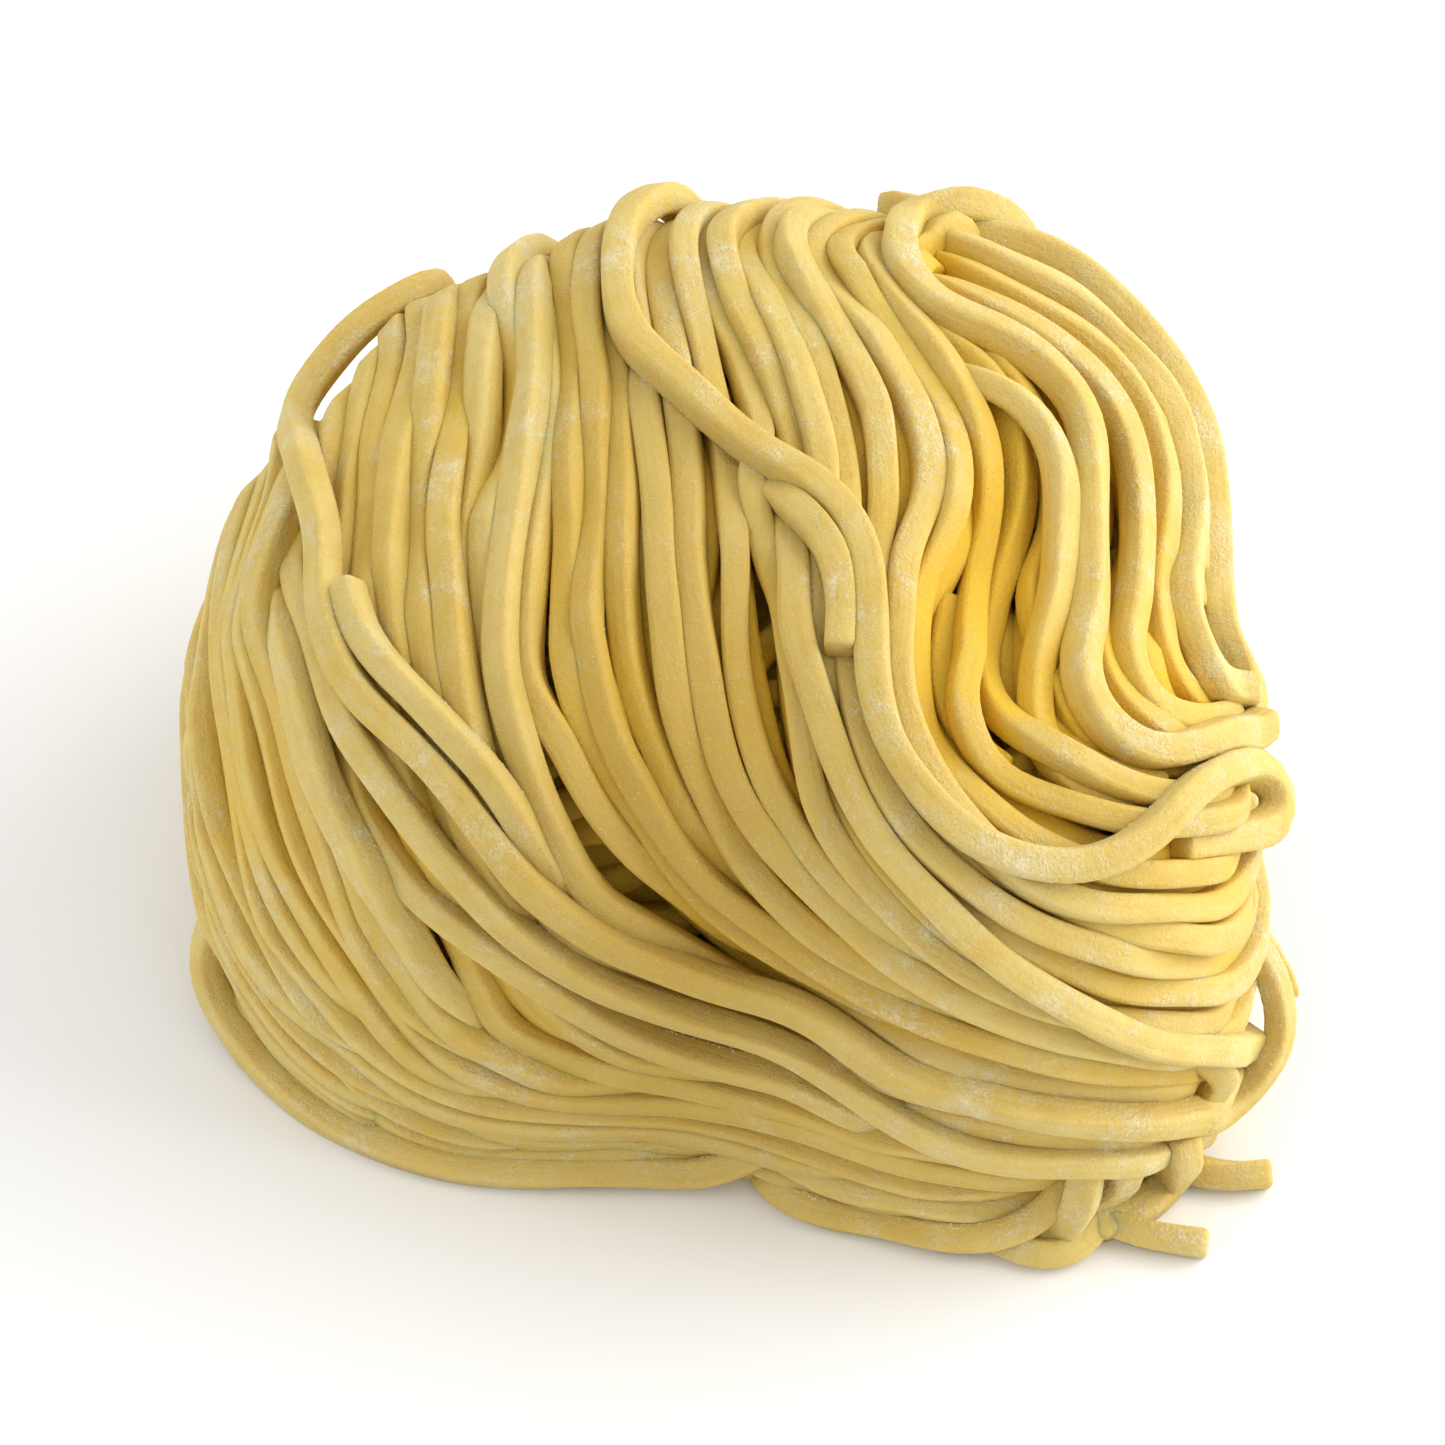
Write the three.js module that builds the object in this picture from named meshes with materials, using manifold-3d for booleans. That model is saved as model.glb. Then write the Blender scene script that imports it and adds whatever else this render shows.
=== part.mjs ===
// Fresh pasta nest: square-cut spaghetti wound over a mounded heap.
//
// Units are millimetres, +Z is up and the nest rests on its flat underside at z = 0. +X is the nest's
// right and -Y its front. The nest is one closed solid. Its body is a core that the packed turns are
// fused on to: side by side they cover it as ridges, one for each strand. The strands that lie on top
// of the turns or leave the heap are square bars joined to it.
//
// Strand routes are drawn on the face plane, an inclined plane that looks at the front of the mound
// from above. A point on it is [across, up], with an optional third number that says how far the
// strand lies below its usual bed there. Each point is dropped onto the mound along the plane's
// normal. The far half of every turn is worked out by a rule.

import * as THREE from 'three';
import { mergeVertices } from 'three/addons/utils/BufferGeometryUtils.js';
import Module from 'manifold-3d';

// ---- Driving dimensions ----

const STRAND_WIDTH = 2.7;
const BED_DEPTH = STRAND_WIDTH / 2;

// The mound is a superellipsoid. Its plan radius is given every 30 degrees, counter-clockwise from +X.
const PLAN_RADII = [43.5, 47, 51.5, 48, 46.5, 45, 45.5, 43.5, 35, 31, 43.5, 51];
const HEIGHT_ABOVE_CENTRE = 34;
const DEPTH_BELOW_CENTRE = 35;
const MOUND_CENTRE = new THREE.Vector3(0, 0, 21);
const FULLNESS = 3.1;

// The face plane leans back by this angle and meets the vertical axis at this height.
const FACE_LEAN = THREE.MathUtils.degToRad(50);
const FACE_HEIGHT = 25.5;
const FACE_UP = new THREE.Vector3(0, Math.sin(FACE_LEAN), Math.cos(FACE_LEAN));
const FACE_NORMAL = new THREE.Vector3(0, -Math.cos(FACE_LEAN), Math.sin(FACE_LEAN));

// Depth of the groove between two turns, and how much of the way between them each ridge's top takes.
const GROOVE_DEPTH = 1.6;
const RIDGE_SHARE = 0.5;

// Steps round a turn, and the length of a step along a single strand.
const STEPS_PER_TURN = 38;
const STEP_LENGTH = 9;

// The middle of the nest's outline, which the finished part is centred on.
const OUTLINE_MIDDLE = [1.1, 4.3];

const DOUGH_COLOUR = 0xd9b964;

// ---- Strand routes on the face plane ----

// Guide turns from the outer left of the nest to its right shoulder. Each runs from the crest down the
// face and round to its fold at the right. The points of one guide match those of the next, so the
// guides are a net that every other turn is interpolated from.
const GUIDES = [
  [[-38, 22.5], [-42.5, 12], [-44.6, -1], [-42.5, -15], [-35, -26.5],
    [-23.5, -34], [-6, -36], [11, -39.4], [29, -43.2]],
  [[-31, 33], [-36, 20], [-37.5, 6], [-34, -8], [-28, -20],
    [-18, -30], [-3, -32], [14, -35.5], [39, -40]],
  [[-22.5, 38.5], [-25, 26], [-25.5, 12], [-23.5, -1], [-18, -15],
    [-10, -26], [4, -29.7], [21, -32], [44, -35.5]],
  [[-18, 40.3], [-19, 27], [-20, 13], [-19.5, -1], [-13, -12.5],
    [-3, -21], [10, -26.5], [25, -30.8], [45, -34]],
  [[-12, 43.3], [-11.2, 30.5], [-11.4, 16.5], [-10.8, 2.5], [-5.3, -9.5],
    [4.2, -18], [16.5, -25.2], [30, -29], [46, -31]],
  [[-1, 45.8], [1.5, 35], [5.2, 22], [6.8, 8], [8.3, -4],
    [14.5, -13.2], [24, -20.7], [36, -25], [47, -23.5]],
  [[3, 45.6], [4.2, 37], [8.3, 27.5], [9.3, 15.5], [9.7, 5],
    [13.2, -5], [21.3, -14], [34, -19.6], [47, -20.5]],
  [[7.5, 45], [6.5, 40.5], [13, 31.5], [18.2, 21.5], [14.6, 11],
    [13.7, -0.5], [20.8, -11], [33, -16], [46.5, -16.5]],
  [[12, 44.8], [9.3, 40], [16, 32], [20.8, 21], [16.4, 9.5],
    [16.2, 0.8], [22.3, -7.8], [34, -12.3], [46, -12]],
  [[16, 44], [12.3, 39.5], [18.5, 32], [23.5, 21], [22.8, 10],
    [22, 0], [27, -5.8], [35, -8.3], [46, -8]],
  [[19.5, 43.3], [15.2, 38.6], [22.5, 31.5], [31, 25], [31, 13],
    [28.5, 3], [32, -2.8], [38.5, -4.3], [46, -3.5]],
  [[22.5, 42.8], [19, 38], [27, 32.5], [35, 24], [35.7, 13],
    [33.5, 5], [36, 0.5], [40.5, -1], [46, -0.5]],
  [[26, 41.5], [26.8, 38], [31.8, 33.8], [36.8, 27], [38.8, 19.5],
    [39.7, 12.8], [40.6, 8], [42.8, 4], [46, 2]],
];
const LAST_GUIDE = GUIDES.length - 1;
const GUIDE_TENSION = 0.35;

// Past its fold, each guide turn dips to this angle below or above the mound's centre, in degrees, and
// runs on round the back. The outer turns pass under the nest.
const FAR_LEVELS = [-60, -50, -40, -36, -30, -16, -13.5, -11, -8.5, -6, -3.5, 1.5, 4.5];

// How many turns lie from each guide up to the next.
const TURNS_BETWEEN_GUIDES = [3, 4, 2, 3, 6, 1, 1, 1, 1, 3, 2, 1];

// How many turns close in on an eye past the first guide and past the last, and how far each of the
// first ones closes in. The eyes are compass angles and elevations in degrees from the mound's centre.
const FOOT_TURNS = 8;
const FOOT_CLOSING = 0.07;
const FOOT_EYE = [-170, -65];
const SHOULDER_TURNS = 2;
const SHOULDER_EYE = [30, 13];

// Hollows between the turns: where they lie on the face plane, their width and height there, and depth.
const HOLLOWS = [
  { at: [18.3, 5.5], width: 3.2, height: 9, depth: 5 },
  { at: [26.3, 9.5], width: 3.6, height: 12, depth: 9 },
  { at: [-7.5, -13.5], width: 6, height: 4, depth: 4 },
  { at: [-7, -35.5], width: 9, height: 2.5, depth: 4 },
];

// Strands that lie on top of the turns, or leave the heap.
const ON_TOP = -2;
const SINGLE_STRANDS = {
  diagonal: [[-5, 45.5], [-8.8, 40, ON_TOP], [-8.7, 34.5, ON_TOP], [-3, 28.5, ON_TOP], [5, 21.5, ON_TOP],
    [10.5, 15, ON_TOP], [12, 5, ON_TOP], [13, -3, ON_TOP], [19, -9.7, ON_TOP], [28, -12.2, ON_TOP],
    [35.5, -9, ON_TOP], [41, -4.5], [46.5, -5.5], [47, -8], [38, -9.7, 1]],
  leftEnd: [[-32, 11, ON_TOP], [-29, 6.5, ON_TOP], [-22, -1.5, ON_TOP], [-15.5, -11], [-11, -17.5, 2]],
  leftUpper: [[-24, 38], [-33.5, 30], [-35.8, 22, ON_TOP], [-33.5, 11, ON_TOP], [-30, 2, ON_TOP],
    [-24.5, -5, ON_TOP], [-19, -12.5, ON_TOP], [-10, -18.8, ON_TOP], [2, -22.5, ON_TOP], [9, -25.5, ON_TOP],
    [18, -32, ON_TOP], [27, -33.7, ON_TOP], [39, -33.8, 1]],
  leftLower: [[-33.5, 2], [-27, -7], [-20, -16, ON_TOP], [-10, -23.5, ON_TOP], [0, -26, ON_TOP],
    [8, -28.5, ON_TOP], [16, -34.5, ON_TOP], [25, -37, ON_TOP], [33, -36], [39, -33, 3]],
  leftFoot: [[-42, -13, 2], [-44.8, -21.5], [-41, -27], [-33, -32], [-24, -36, 2]],
  leftHook: [[31, -35], [30, -39.5], [26.5, -43.5, 3]],
  rightHook: [[36, -35], [36.5, -38.5], [33, -41.5], [28, -42.5, 3]],
  sideLoop: [[43, -17, 3], [46.5, -22], [46, -27.5], [43, -31.5], [38, -34, 3]],
  upperEnd: [[34, -35.5, 4], [41, -38], [46.3, -38.2]],
  lowerEnd: [[28, -41.5, 4], [36, -43], [40, -43.8]],
};

// ---- The mound ----

const SMALLEST_SINE = 1e-6;

// Radius of the plan at an angle: the trigonometric curve that passes through the plan radii.
function planRadius(angle) {
  const count = PLAN_RADII.length;
  return PLAN_RADII.reduce((sum, radius, i) => {
    const away = angle / 2 - (Math.PI * i) / count;
    const onRadius = Math.abs(Math.sin(away)) < SMALLEST_SINE;
    const share = onRadius ? 1 : (Math.sin(count * away) * Math.cos(away)) / (count * Math.sin(away));
    return sum + radius * share;
  }, 0);
}

// Distance from the mound's centre to its skin along a unit direction.
function moundRadius(direction) {
  const plan = planRadius(Math.atan2(direction.y, direction.x));
  const height = direction.z > 0 ? HEIGHT_ABOVE_CENTRE : DEPTH_BELOW_CENTRE;
  const flat = Math.hypot(direction.x, direction.y) / plan;
  const tall = Math.abs(direction.z) / height;
  return (flat ** FULLNESS + tall ** FULLNESS) ** (-1 / FULLNESS);
}

// How far a point stands outside the skin, or inside it when negative.
function outsideBy(point) {
  const offset = point.clone().sub(MOUND_CENTRE);
  const distance = offset.length();
  return distance - moundRadius(offset.divideScalar(distance));
}

const DROP_STEP = 0.25;
const DROP_REACH = 60;

// Drops a face-plane point onto the bed of the top strands, at the depth that it asks for. Where it
// misses the mound, it stays at its closest approach, or on the table if that is higher.
function drop([across, up, sink = 0]) {
  const start = new THREE.Vector3(across, 0, FACE_HEIGHT).addScaledVector(FACE_UP, up);
  let best = null;
  let least = Infinity;
  for (let reach = DROP_REACH; reach > -DROP_REACH && least > 0; reach -= DROP_STEP) {
    const point = start.clone().addScaledVector(FACE_NORMAL, reach);
    const gap = outsideBy(point) + sink + BED_DEPTH;
    if (gap < least) {
      least = gap;
      best = point;
    }
  }
  const lift = Math.max(BED_DEPTH - best.z, 0) / FACE_NORMAL.z;
  return best.addScaledVector(FACE_NORMAL, lift);
}

// How deep the hollows are at a point of the skin: a smooth bell over each one's width and height.
function hollowDepth(point) {
  const offset = point.clone().sub(new THREE.Vector3(0, 0, FACE_HEIGHT));
  if (offset.dot(FACE_NORMAL) < 0) return 0;
  return HOLLOWS.reduce((sum, { at, width, height, depth }) => {
    const across = (offset.x - at[0]) / width;
    const up = (offset.dot(FACE_UP) - at[1]) / height;
    return sum + depth * Math.exp(-(across ** 2) - up ** 2);
  }, 0);
}

// The point straight out from the mound's centre in a direction, at a depth below the skin and its
// hollows. Where the skin reaches below the table, it is cut off flat at the table.
function bodyPoint(direction, depth) {
  const skin = moundRadius(direction) - depth;
  const hollow = hollowDepth(direction.clone().multiplyScalar(skin).add(MOUND_CENTRE));
  const table = direction.z < 0 ? MOUND_CENTRE.z / -direction.z : Infinity;
  return direction.clone().multiplyScalar(Math.min(skin - hollow, table)).add(MOUND_CENTRE);
}

// ---- Turns of the heap ----

// The face points of the turn at a place across the guides: each lies on a smooth curve through the
// matching points of all guides.
function facePoints(place) {
  return GUIDES[0].map((_, station) => {
    const matching = GUIDES.map((guide) => new THREE.Vector3(...guide[station], 0));
    const across = new THREE.CatmullRomCurve3(matching, false, 'catmullrom', GUIDE_TENSION);
    return drop(across.getPoint(place / LAST_GUIDE).toArray());
  });
}

// Compass angle and elevation of a point as seen from the mound's centre, and the way back.
function bearing(point) {
  const { x, y, z } = point.clone().sub(MOUND_CENTRE);
  return [Math.atan2(y, x), Math.atan2(z, Math.hypot(x, y))];
}

function toDirection(angle, rise) {
  return new THREE.Vector3(Math.cos(angle) * Math.cos(rise), Math.sin(angle) * Math.cos(rise), Math.sin(rise));
}

const FAR_POINTS = 7;
const DIP_SHARE = 0.35;

// The far half of a turn, from its fold at the right round the back and up to its crest. It dips to its
// level in the first part of the way. From there it is a quarter of an ellipse in compass angle and
// elevation, level at the fold and upright at the crest.
function farDirections(fold, crest, place) {
  const [foldAngle, foldRise] = bearing(fold);
  const [crestAngle, crestRise] = bearing(crest);
  const guide = Math.min(Math.floor(place), LAST_GUIDE - 1);
  const level = THREE.MathUtils.degToRad(
    THREE.MathUtils.lerp(FAR_LEVELS[guide], FAR_LEVELS[guide + 1], place - guide),
  );
  return Array.from({ length: FAR_POINTS }, (_, i) => {
    const t = (i + 1) / (FAR_POINTS + 1);
    const dip = 1 - THREE.MathUtils.smoothstep(t, 0, DIP_SHARE);
    const climb = 1 - Math.cos((t * Math.PI) / 2);
    const angle = THREE.MathUtils.lerp(foldAngle, crestAngle, Math.sin((t * Math.PI) / 2));
    return toDirection(angle, level + (foldRise - level) * dip + (crestRise - level) * climb);
  });
}

// How far the turn at a place has closed in on its eye, from 0 to 1.
function closing(place) {
  if (place === -FOOT_TURNS) return 1;
  return place < 0 ? -place * FOOT_CLOSING : Math.max(place - LAST_GUIDE, 0) / SHOULDER_TURNS;
}

// Directions from the mound's centre round the closed turn at a place. Past the first and the last
// guide the turns close in on the eyes.
function turnDirections(place) {
  const guided = THREE.MathUtils.clamp(place, 0, LAST_GUIDE);
  const face = facePoints(guided);
  const directions = face.map((point) => point.clone().sub(MOUND_CENTRE).normalize());
  directions.push(...farDirections(face[face.length - 1], face[0], guided));
  const loop = new THREE.CatmullRomCurve3(directions, true);
  const eye = toDirection(...(place < 0 ? FOOT_EYE : SHOULDER_EYE).map(THREE.MathUtils.degToRad));
  return Array.from({ length: STEPS_PER_TURN + 1 }, (_, step) => (
    loop.getPoint(step / STEPS_PER_TURN).normalize().lerp(eye, closing(place)).normalize()
  ));
}

// Places of all turns across the guides, with the foot turns before them and the shoulder turns after.
function turnPlaces() {
  const foot = Array.from({ length: FOOT_TURNS - 1 }, (_, i) => i + 1 - FOOT_TURNS);
  const between = TURNS_BETWEEN_GUIDES.flatMap((count, guide) => (
    Array.from({ length: count }, (_, i) => guide + i / count)
  ));
  const shoulder = Array.from({ length: SHOULDER_TURNS }, (_, i) => LAST_GUIDE + i);
  return [...foot, ...between, ...shoulder];
}

// Lines of the body's skin from the shoulder's eye to the foot's, as place and depth: a groove and the
// two edges of a ridge's top for each turn.
function skinLines() {
  const places = turnPlaces();
  const lines = [{ place: -FOOT_TURNS, depth: 0 }];
  places.forEach((place, i) => {
    const before = places[i - 1] ?? -FOOT_TURNS;
    const after = places[i + 1] ?? LAST_GUIDE + SHOULDER_TURNS;
    lines.push({ place: (before + place) / 2, depth: GROOVE_DEPTH });
    lines.push({ place: THREE.MathUtils.lerp(place, before, RIDGE_SHARE / 2), depth: 0 });
    lines.push({ place: THREE.MathUtils.lerp(place, after, RIDGE_SHARE / 2), depth: 0 });
  });
  lines.push({ place: LAST_GUIDE + SHOULDER_TURNS, depth: GROOVE_DEPTH });
  return lines.reverse();
}

// The body: a sphere's grid of rings and steps, whose rings are laid along the lines of the skin.
function bodyGeometry() {
  const lines = skinLines();
  const geometry = new THREE.SphereGeometry(1, STEPS_PER_TURN, lines.length - 1);
  const corners = geometry.attributes.position;
  lines.forEach(({ place, depth }, ring) => {
    turnDirections(place).forEach((direction, step) => {
      const corner = bodyPoint(direction, depth);
      corners.setXYZ(ring * (STEPS_PER_TURN + 1) + step, corner.x, corner.y, corner.z);
    });
  });
  return geometry;
}

// ---- Single strands ----

// A route whose section always keeps its back to the mound's centre.
class BeddedCurve extends THREE.CatmullRomCurve3 {
  computeFrenetFrames(segments) {
    const tangents = [];
    const normals = [];
    const binormals = [];
    for (let i = 0; i <= segments; i += 1) {
      const tangent = this.getTangentAt(i / segments);
      const outward = this.getPointAt(i / segments).sub(MOUND_CENTRE);
      const sideways = outward.cross(tangent).normalize();
      tangents.push(tangent);
      normals.push(sideways);
      binormals.push(tangent.clone().cross(sideways));
    }
    return { tangents, normals, binormals };
  }
}

function strandSection() {
  const half = STRAND_WIDTH / 2;
  return new THREE.Shape([
    new THREE.Vector2(-half, -half),
    new THREE.Vector2(half, -half),
    new THREE.Vector2(half, half),
    new THREE.Vector2(-half, half),
  ]);
}

function strandGeometry(route) {
  const curve = new BeddedCurve(route.map(drop));
  return new THREE.ExtrudeGeometry(strandSection(), {
    steps: Math.ceil(curve.getLength() / STEP_LENGTH),
    extrudePath: curve,
    bevelEnabled: false,
  });
}

// ---- Joining ----

const wasm = await Module();
wasm.setup();

const MERGE_DISTANCE = 1e-4;

function toSolid(geometry) {
  geometry.deleteAttribute('normal');
  geometry.deleteAttribute('uv');
  const merged = mergeVertices(geometry, MERGE_DISTANCE);
  return new wasm.Manifold(new wasm.Mesh({
    numProp: 3,
    vertProperties: merged.attributes.position.array,
    triVerts: merged.index.array,
  }));
}

function toGeometry(solid) {
  const mesh = solid.getMesh();
  const geometry = new THREE.BufferGeometry();
  geometry.setAttribute('position', new THREE.BufferAttribute(mesh.vertProperties, 3));
  geometry.setIndex(new THREE.BufferAttribute(mesh.triVerts, 1));
  geometry.computeVertexNormals();
  return geometry;
}

// The largest body of a solid, without loose scraps and without the pockets that joining seals in.
function mainBody(solid) {
  return solid.decompose().reduce((main, body) => (body.volume() > main.volume() ? body : main));
}

const TABLE_SIZE = 200;

function nestGeometry() {
  const table = new THREE.BoxGeometry(TABLE_SIZE, TABLE_SIZE, TABLE_SIZE).translate(0, 0, -TABLE_SIZE / 2);
  const heap = Object.values(SINGLE_STRANDS)
    .map((route) => toSolid(strandGeometry(route)))
    .reduce((joined, strand) => joined.add(strand), toSolid(bodyGeometry()));
  const nestSolid = mainBody(heap.subtract(toSolid(table)));
  return toGeometry(nestSolid).translate(-OUTLINE_MIDDLE[0], -OUTLINE_MIDDLE[1], 0);
}

const nest = new THREE.Group();
const pasta = new THREE.Mesh(
  nestGeometry(),
  new THREE.MeshStandardMaterial({ color: DOUGH_COLOUR, roughness: 0.75, metalness: 0 }),
);
pasta.name = 'pasta_nest';
nest.add(pasta);

export default nest;
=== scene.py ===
"""Fresh pasta nest: square-cut egg spaghetti, wound over a mounded heap and dusted with semolina.

The heap is a mound. Its strands are wound round it as turns: each comes up the back, over the crest,
down the face, folds in at the right and goes round the far side to the next turn. Loose strands lie
across the turns or leave the heap. The strands then push each other apart, which leaves them side by
side at the skin and partly sunk into each other inside.

The layout is worked out in millimetres, +Z up, and is put into metres when a mesh is made.
"""

import bpy
import numpy as np
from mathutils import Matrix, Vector


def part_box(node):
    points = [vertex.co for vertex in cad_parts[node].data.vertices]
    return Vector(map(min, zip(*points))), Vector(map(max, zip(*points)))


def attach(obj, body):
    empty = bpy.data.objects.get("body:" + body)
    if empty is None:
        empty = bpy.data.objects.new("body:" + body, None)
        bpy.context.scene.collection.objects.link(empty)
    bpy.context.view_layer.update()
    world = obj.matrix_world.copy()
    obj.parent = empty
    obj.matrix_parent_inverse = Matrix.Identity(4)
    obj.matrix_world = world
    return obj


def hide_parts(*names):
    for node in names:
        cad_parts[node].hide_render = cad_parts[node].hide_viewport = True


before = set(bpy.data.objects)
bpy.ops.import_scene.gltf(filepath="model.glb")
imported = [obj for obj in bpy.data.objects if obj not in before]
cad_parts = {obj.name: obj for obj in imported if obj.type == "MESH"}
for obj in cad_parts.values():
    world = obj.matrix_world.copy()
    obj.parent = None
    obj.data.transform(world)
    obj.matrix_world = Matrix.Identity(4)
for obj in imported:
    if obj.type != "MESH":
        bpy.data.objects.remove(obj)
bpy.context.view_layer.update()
nest_low, nest_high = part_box("pasta_nest")

MM = 0.001
UP = np.array([0.0, 0.0, 1.0])

# ---- The mound and its strands ----

STRAND_WIDTH = 2.7
BED_DEPTH = STRAND_WIDTH / 2

# The mound is a superellipsoid. Its plan radius is given every 30 degrees, counter-clockwise from +X.
PLAN_RADII = np.array([43.5, 47, 51.5, 48, 46.5, 45, 45.5, 43.5, 35, 31, 43.5, 51])
HEIGHT_ABOVE_CENTRE = 34.0
DEPTH_BELOW_CENTRE = 35.0
MOUND_CENTRE = np.array([0.0, 0.0, 21.0])
FULLNESS = 3.1

# The face plane leans back by this angle and meets the vertical axis at this height.
FACE_LEAN = np.radians(50)
FACE_CENTRE = np.array([0.0, 0.0, 25.5])
FACE_RIGHT = np.array([1.0, 0.0, 0.0])
FACE_UP = np.array([0.0, np.sin(FACE_LEAN), np.cos(FACE_LEAN)])
FACE_NORMAL = np.array([0.0, -np.cos(FACE_LEAN), np.sin(FACE_LEAN)])

# The middle of the nest's outline, which the finished nest is centred on.
OUTLINE_MIDDLE = np.array([1.1, 4.3, 0.0])

# Guide turns from the outer left of the nest to its right shoulder, as points on the face plane. Each
# runs from the crest down the face and round to its fold at the right.
GUIDES = np.array([
    [[-38, 22.5], [-42.5, 12], [-44.6, -1], [-42.5, -15], [-35, -26.5],
     [-23.5, -34], [-6, -36], [11, -39.4], [29, -43.2]],
    [[-31, 33], [-36, 20], [-37.5, 6], [-34, -8], [-28, -20],
     [-18, -30], [-3, -32], [14, -35.5], [39, -40]],
    [[-22.5, 38.5], [-25, 26], [-25.5, 12], [-23.5, -1], [-18, -15],
     [-10, -26], [4, -29.7], [21, -32], [44, -35.5]],
    [[-18, 40.3], [-19, 27], [-20, 13], [-19.5, -1], [-13, -12.5],
     [-3, -21], [10, -26.5], [25, -30.8], [45, -34]],
    [[-12, 43.3], [-11.2, 30.5], [-11.4, 16.5], [-10.8, 2.5], [-5.3, -9.5],
     [4.2, -18], [16.5, -25.2], [30, -29], [46, -31]],
    [[-1, 45.8], [1.5, 35], [5.2, 22], [6.8, 8], [8.3, -4],
     [14.5, -13.2], [24, -20.7], [36, -25], [47, -23.5]],
    [[3, 45.6], [4.2, 37], [8.3, 27.5], [9.3, 15.5], [9.7, 5],
     [13.2, -5], [21.3, -14], [34, -19.6], [47, -20.5]],
    [[7.5, 45], [6.5, 40.5], [13, 31.5], [18.2, 21.5], [14.6, 11],
     [13.7, -0.5], [20.8, -11], [33, -16], [46.5, -16.5]],
    [[12, 44.8], [9.3, 40], [16, 32], [20.8, 21], [16.4, 9.5],
     [16.2, 0.8], [22.3, -7.8], [34, -12.3], [46, -12]],
    [[16, 44], [12.3, 39.5], [18.5, 32], [23.5, 21], [22.8, 10],
     [22, 0], [27, -5.8], [35, -8.3], [46, -8]],
    [[19.5, 43.3], [15.2, 38.6], [22.5, 31.5], [31, 25], [31, 13],
     [28.5, 3], [32, -2.8], [38.5, -4.3], [46, -3.5]],
    [[22.5, 42.8], [19, 38], [27, 32.5], [35, 24], [35.7, 13],
     [33.5, 5], [36, 0.5], [40.5, -1], [46, -0.5]],
    [[26, 41.5], [26.8, 38], [31.8, 33.8], [36.8, 27], [38.8, 19.5],
     [39.7, 12.8], [40.6, 8], [42.8, 4], [46, 2]],
])
LAST_GUIDE = len(GUIDES) - 1
GUIDE_TENSION = 0.35

# Past its fold, each guide turn dips to this angle below or above the mound's centre, in degrees, and
# runs on round the back. The outer turns pass under the nest.
FAR_LEVELS = np.array([-60, -50, -40, -36, -30, -16, -13.5, -11, -8.5, -6, -3.5, 1.5, 4.5])
DIP_SHARE = 0.35

# Turns from each guide up to the next, in the outer layer and in the layer under it, how strongly the
# first turns crowd outwards, and how deep the inner layer lies.
OUTER_TURNS = [8, 5, 3, 4, 6, 2, 2, 1, 1, 2, 1, 1]
INNER_TURNS = [7, 4, 2, 3, 5, 2, 2, 1, 1, 1, 1, 1]
EDGE_EASE = 1.9
INNER_SINK = 2.35

# Turns that close in on an eye past the first guide and past the last, and how far each closes in. The
# eyes are compass angles and elevations in degrees from the mound's centre.
FOOT_TURNS = 24
FOOT_CLOSED = 0.78
FOOT_EASE = 1.5
FOOT_EYE = np.radians([-170, -65])
SHOULDER_TURNS = 9
SHOULDER_CLOSING = 0.09
SHOULDER_EYE = np.radians([30, 13])

FACE_STATIONS = 25
FAR_STATIONS = 12

# Hollows in the heap: across, up, width, height and depth on the face plane.
HOLLOWS = np.array([
    [18.3, 5.5, 3.2, 9, 5],
    [26.3, 9.5, 3.6, 12, 6],
    [46, -25.5, 4, 5, 2.2],
    [33, 22, 11, 18, 2.4],
    [20.5, 39, 4.5, 4.5, 3],
])

# Gaps that stay open between turns: how wide each is, and its route as [across, up] on the face plane.
GAPS = [
    (3.2, [[-11, -10.8], [-9, -13], [-6.5, -14.8], [-3.8, -15.9]]),
    (1.6, [[-14.2, 16], [-14.4, 10], [-15, 3], [-14.6, -2], [-12, -9]]),
    (1.6, [[-18.2, 31], [-18.6, 22.3]]),
    (1.8, [[0.2, 31], [0.9, 27], [1.8, 24.5]]),
    (1.5, [[4.2, 12], [4.5, 6], [5.6, -4]]),
    (1.8, [[-29.5, -4], [-27, -8.6], [-25.2, -12.7]]),
    (1.6, [[-24.2, -16.8], [-22.1, -21.9]]),
    (1.6, [[-18.8, -21.4], [-17.5, -24.9]]),
    (1.6, [[-3.2, -16.4], [-1, -18.2], [2, -20.2], [7, -22], [12, -25], [16, -26.5], [20, -27],
           [26, -28.5]]),
    (2.0, [[-12.5, -36], [-7, -35.2], [-3, -34.6]]),
    (2.0, [[-29.4, 32], [-31.4, 29.7], [-33.4, 26.8]]),
]
GAP_DEPTHS = (0.0, 2.4, 4.8, 7.2)

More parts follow.
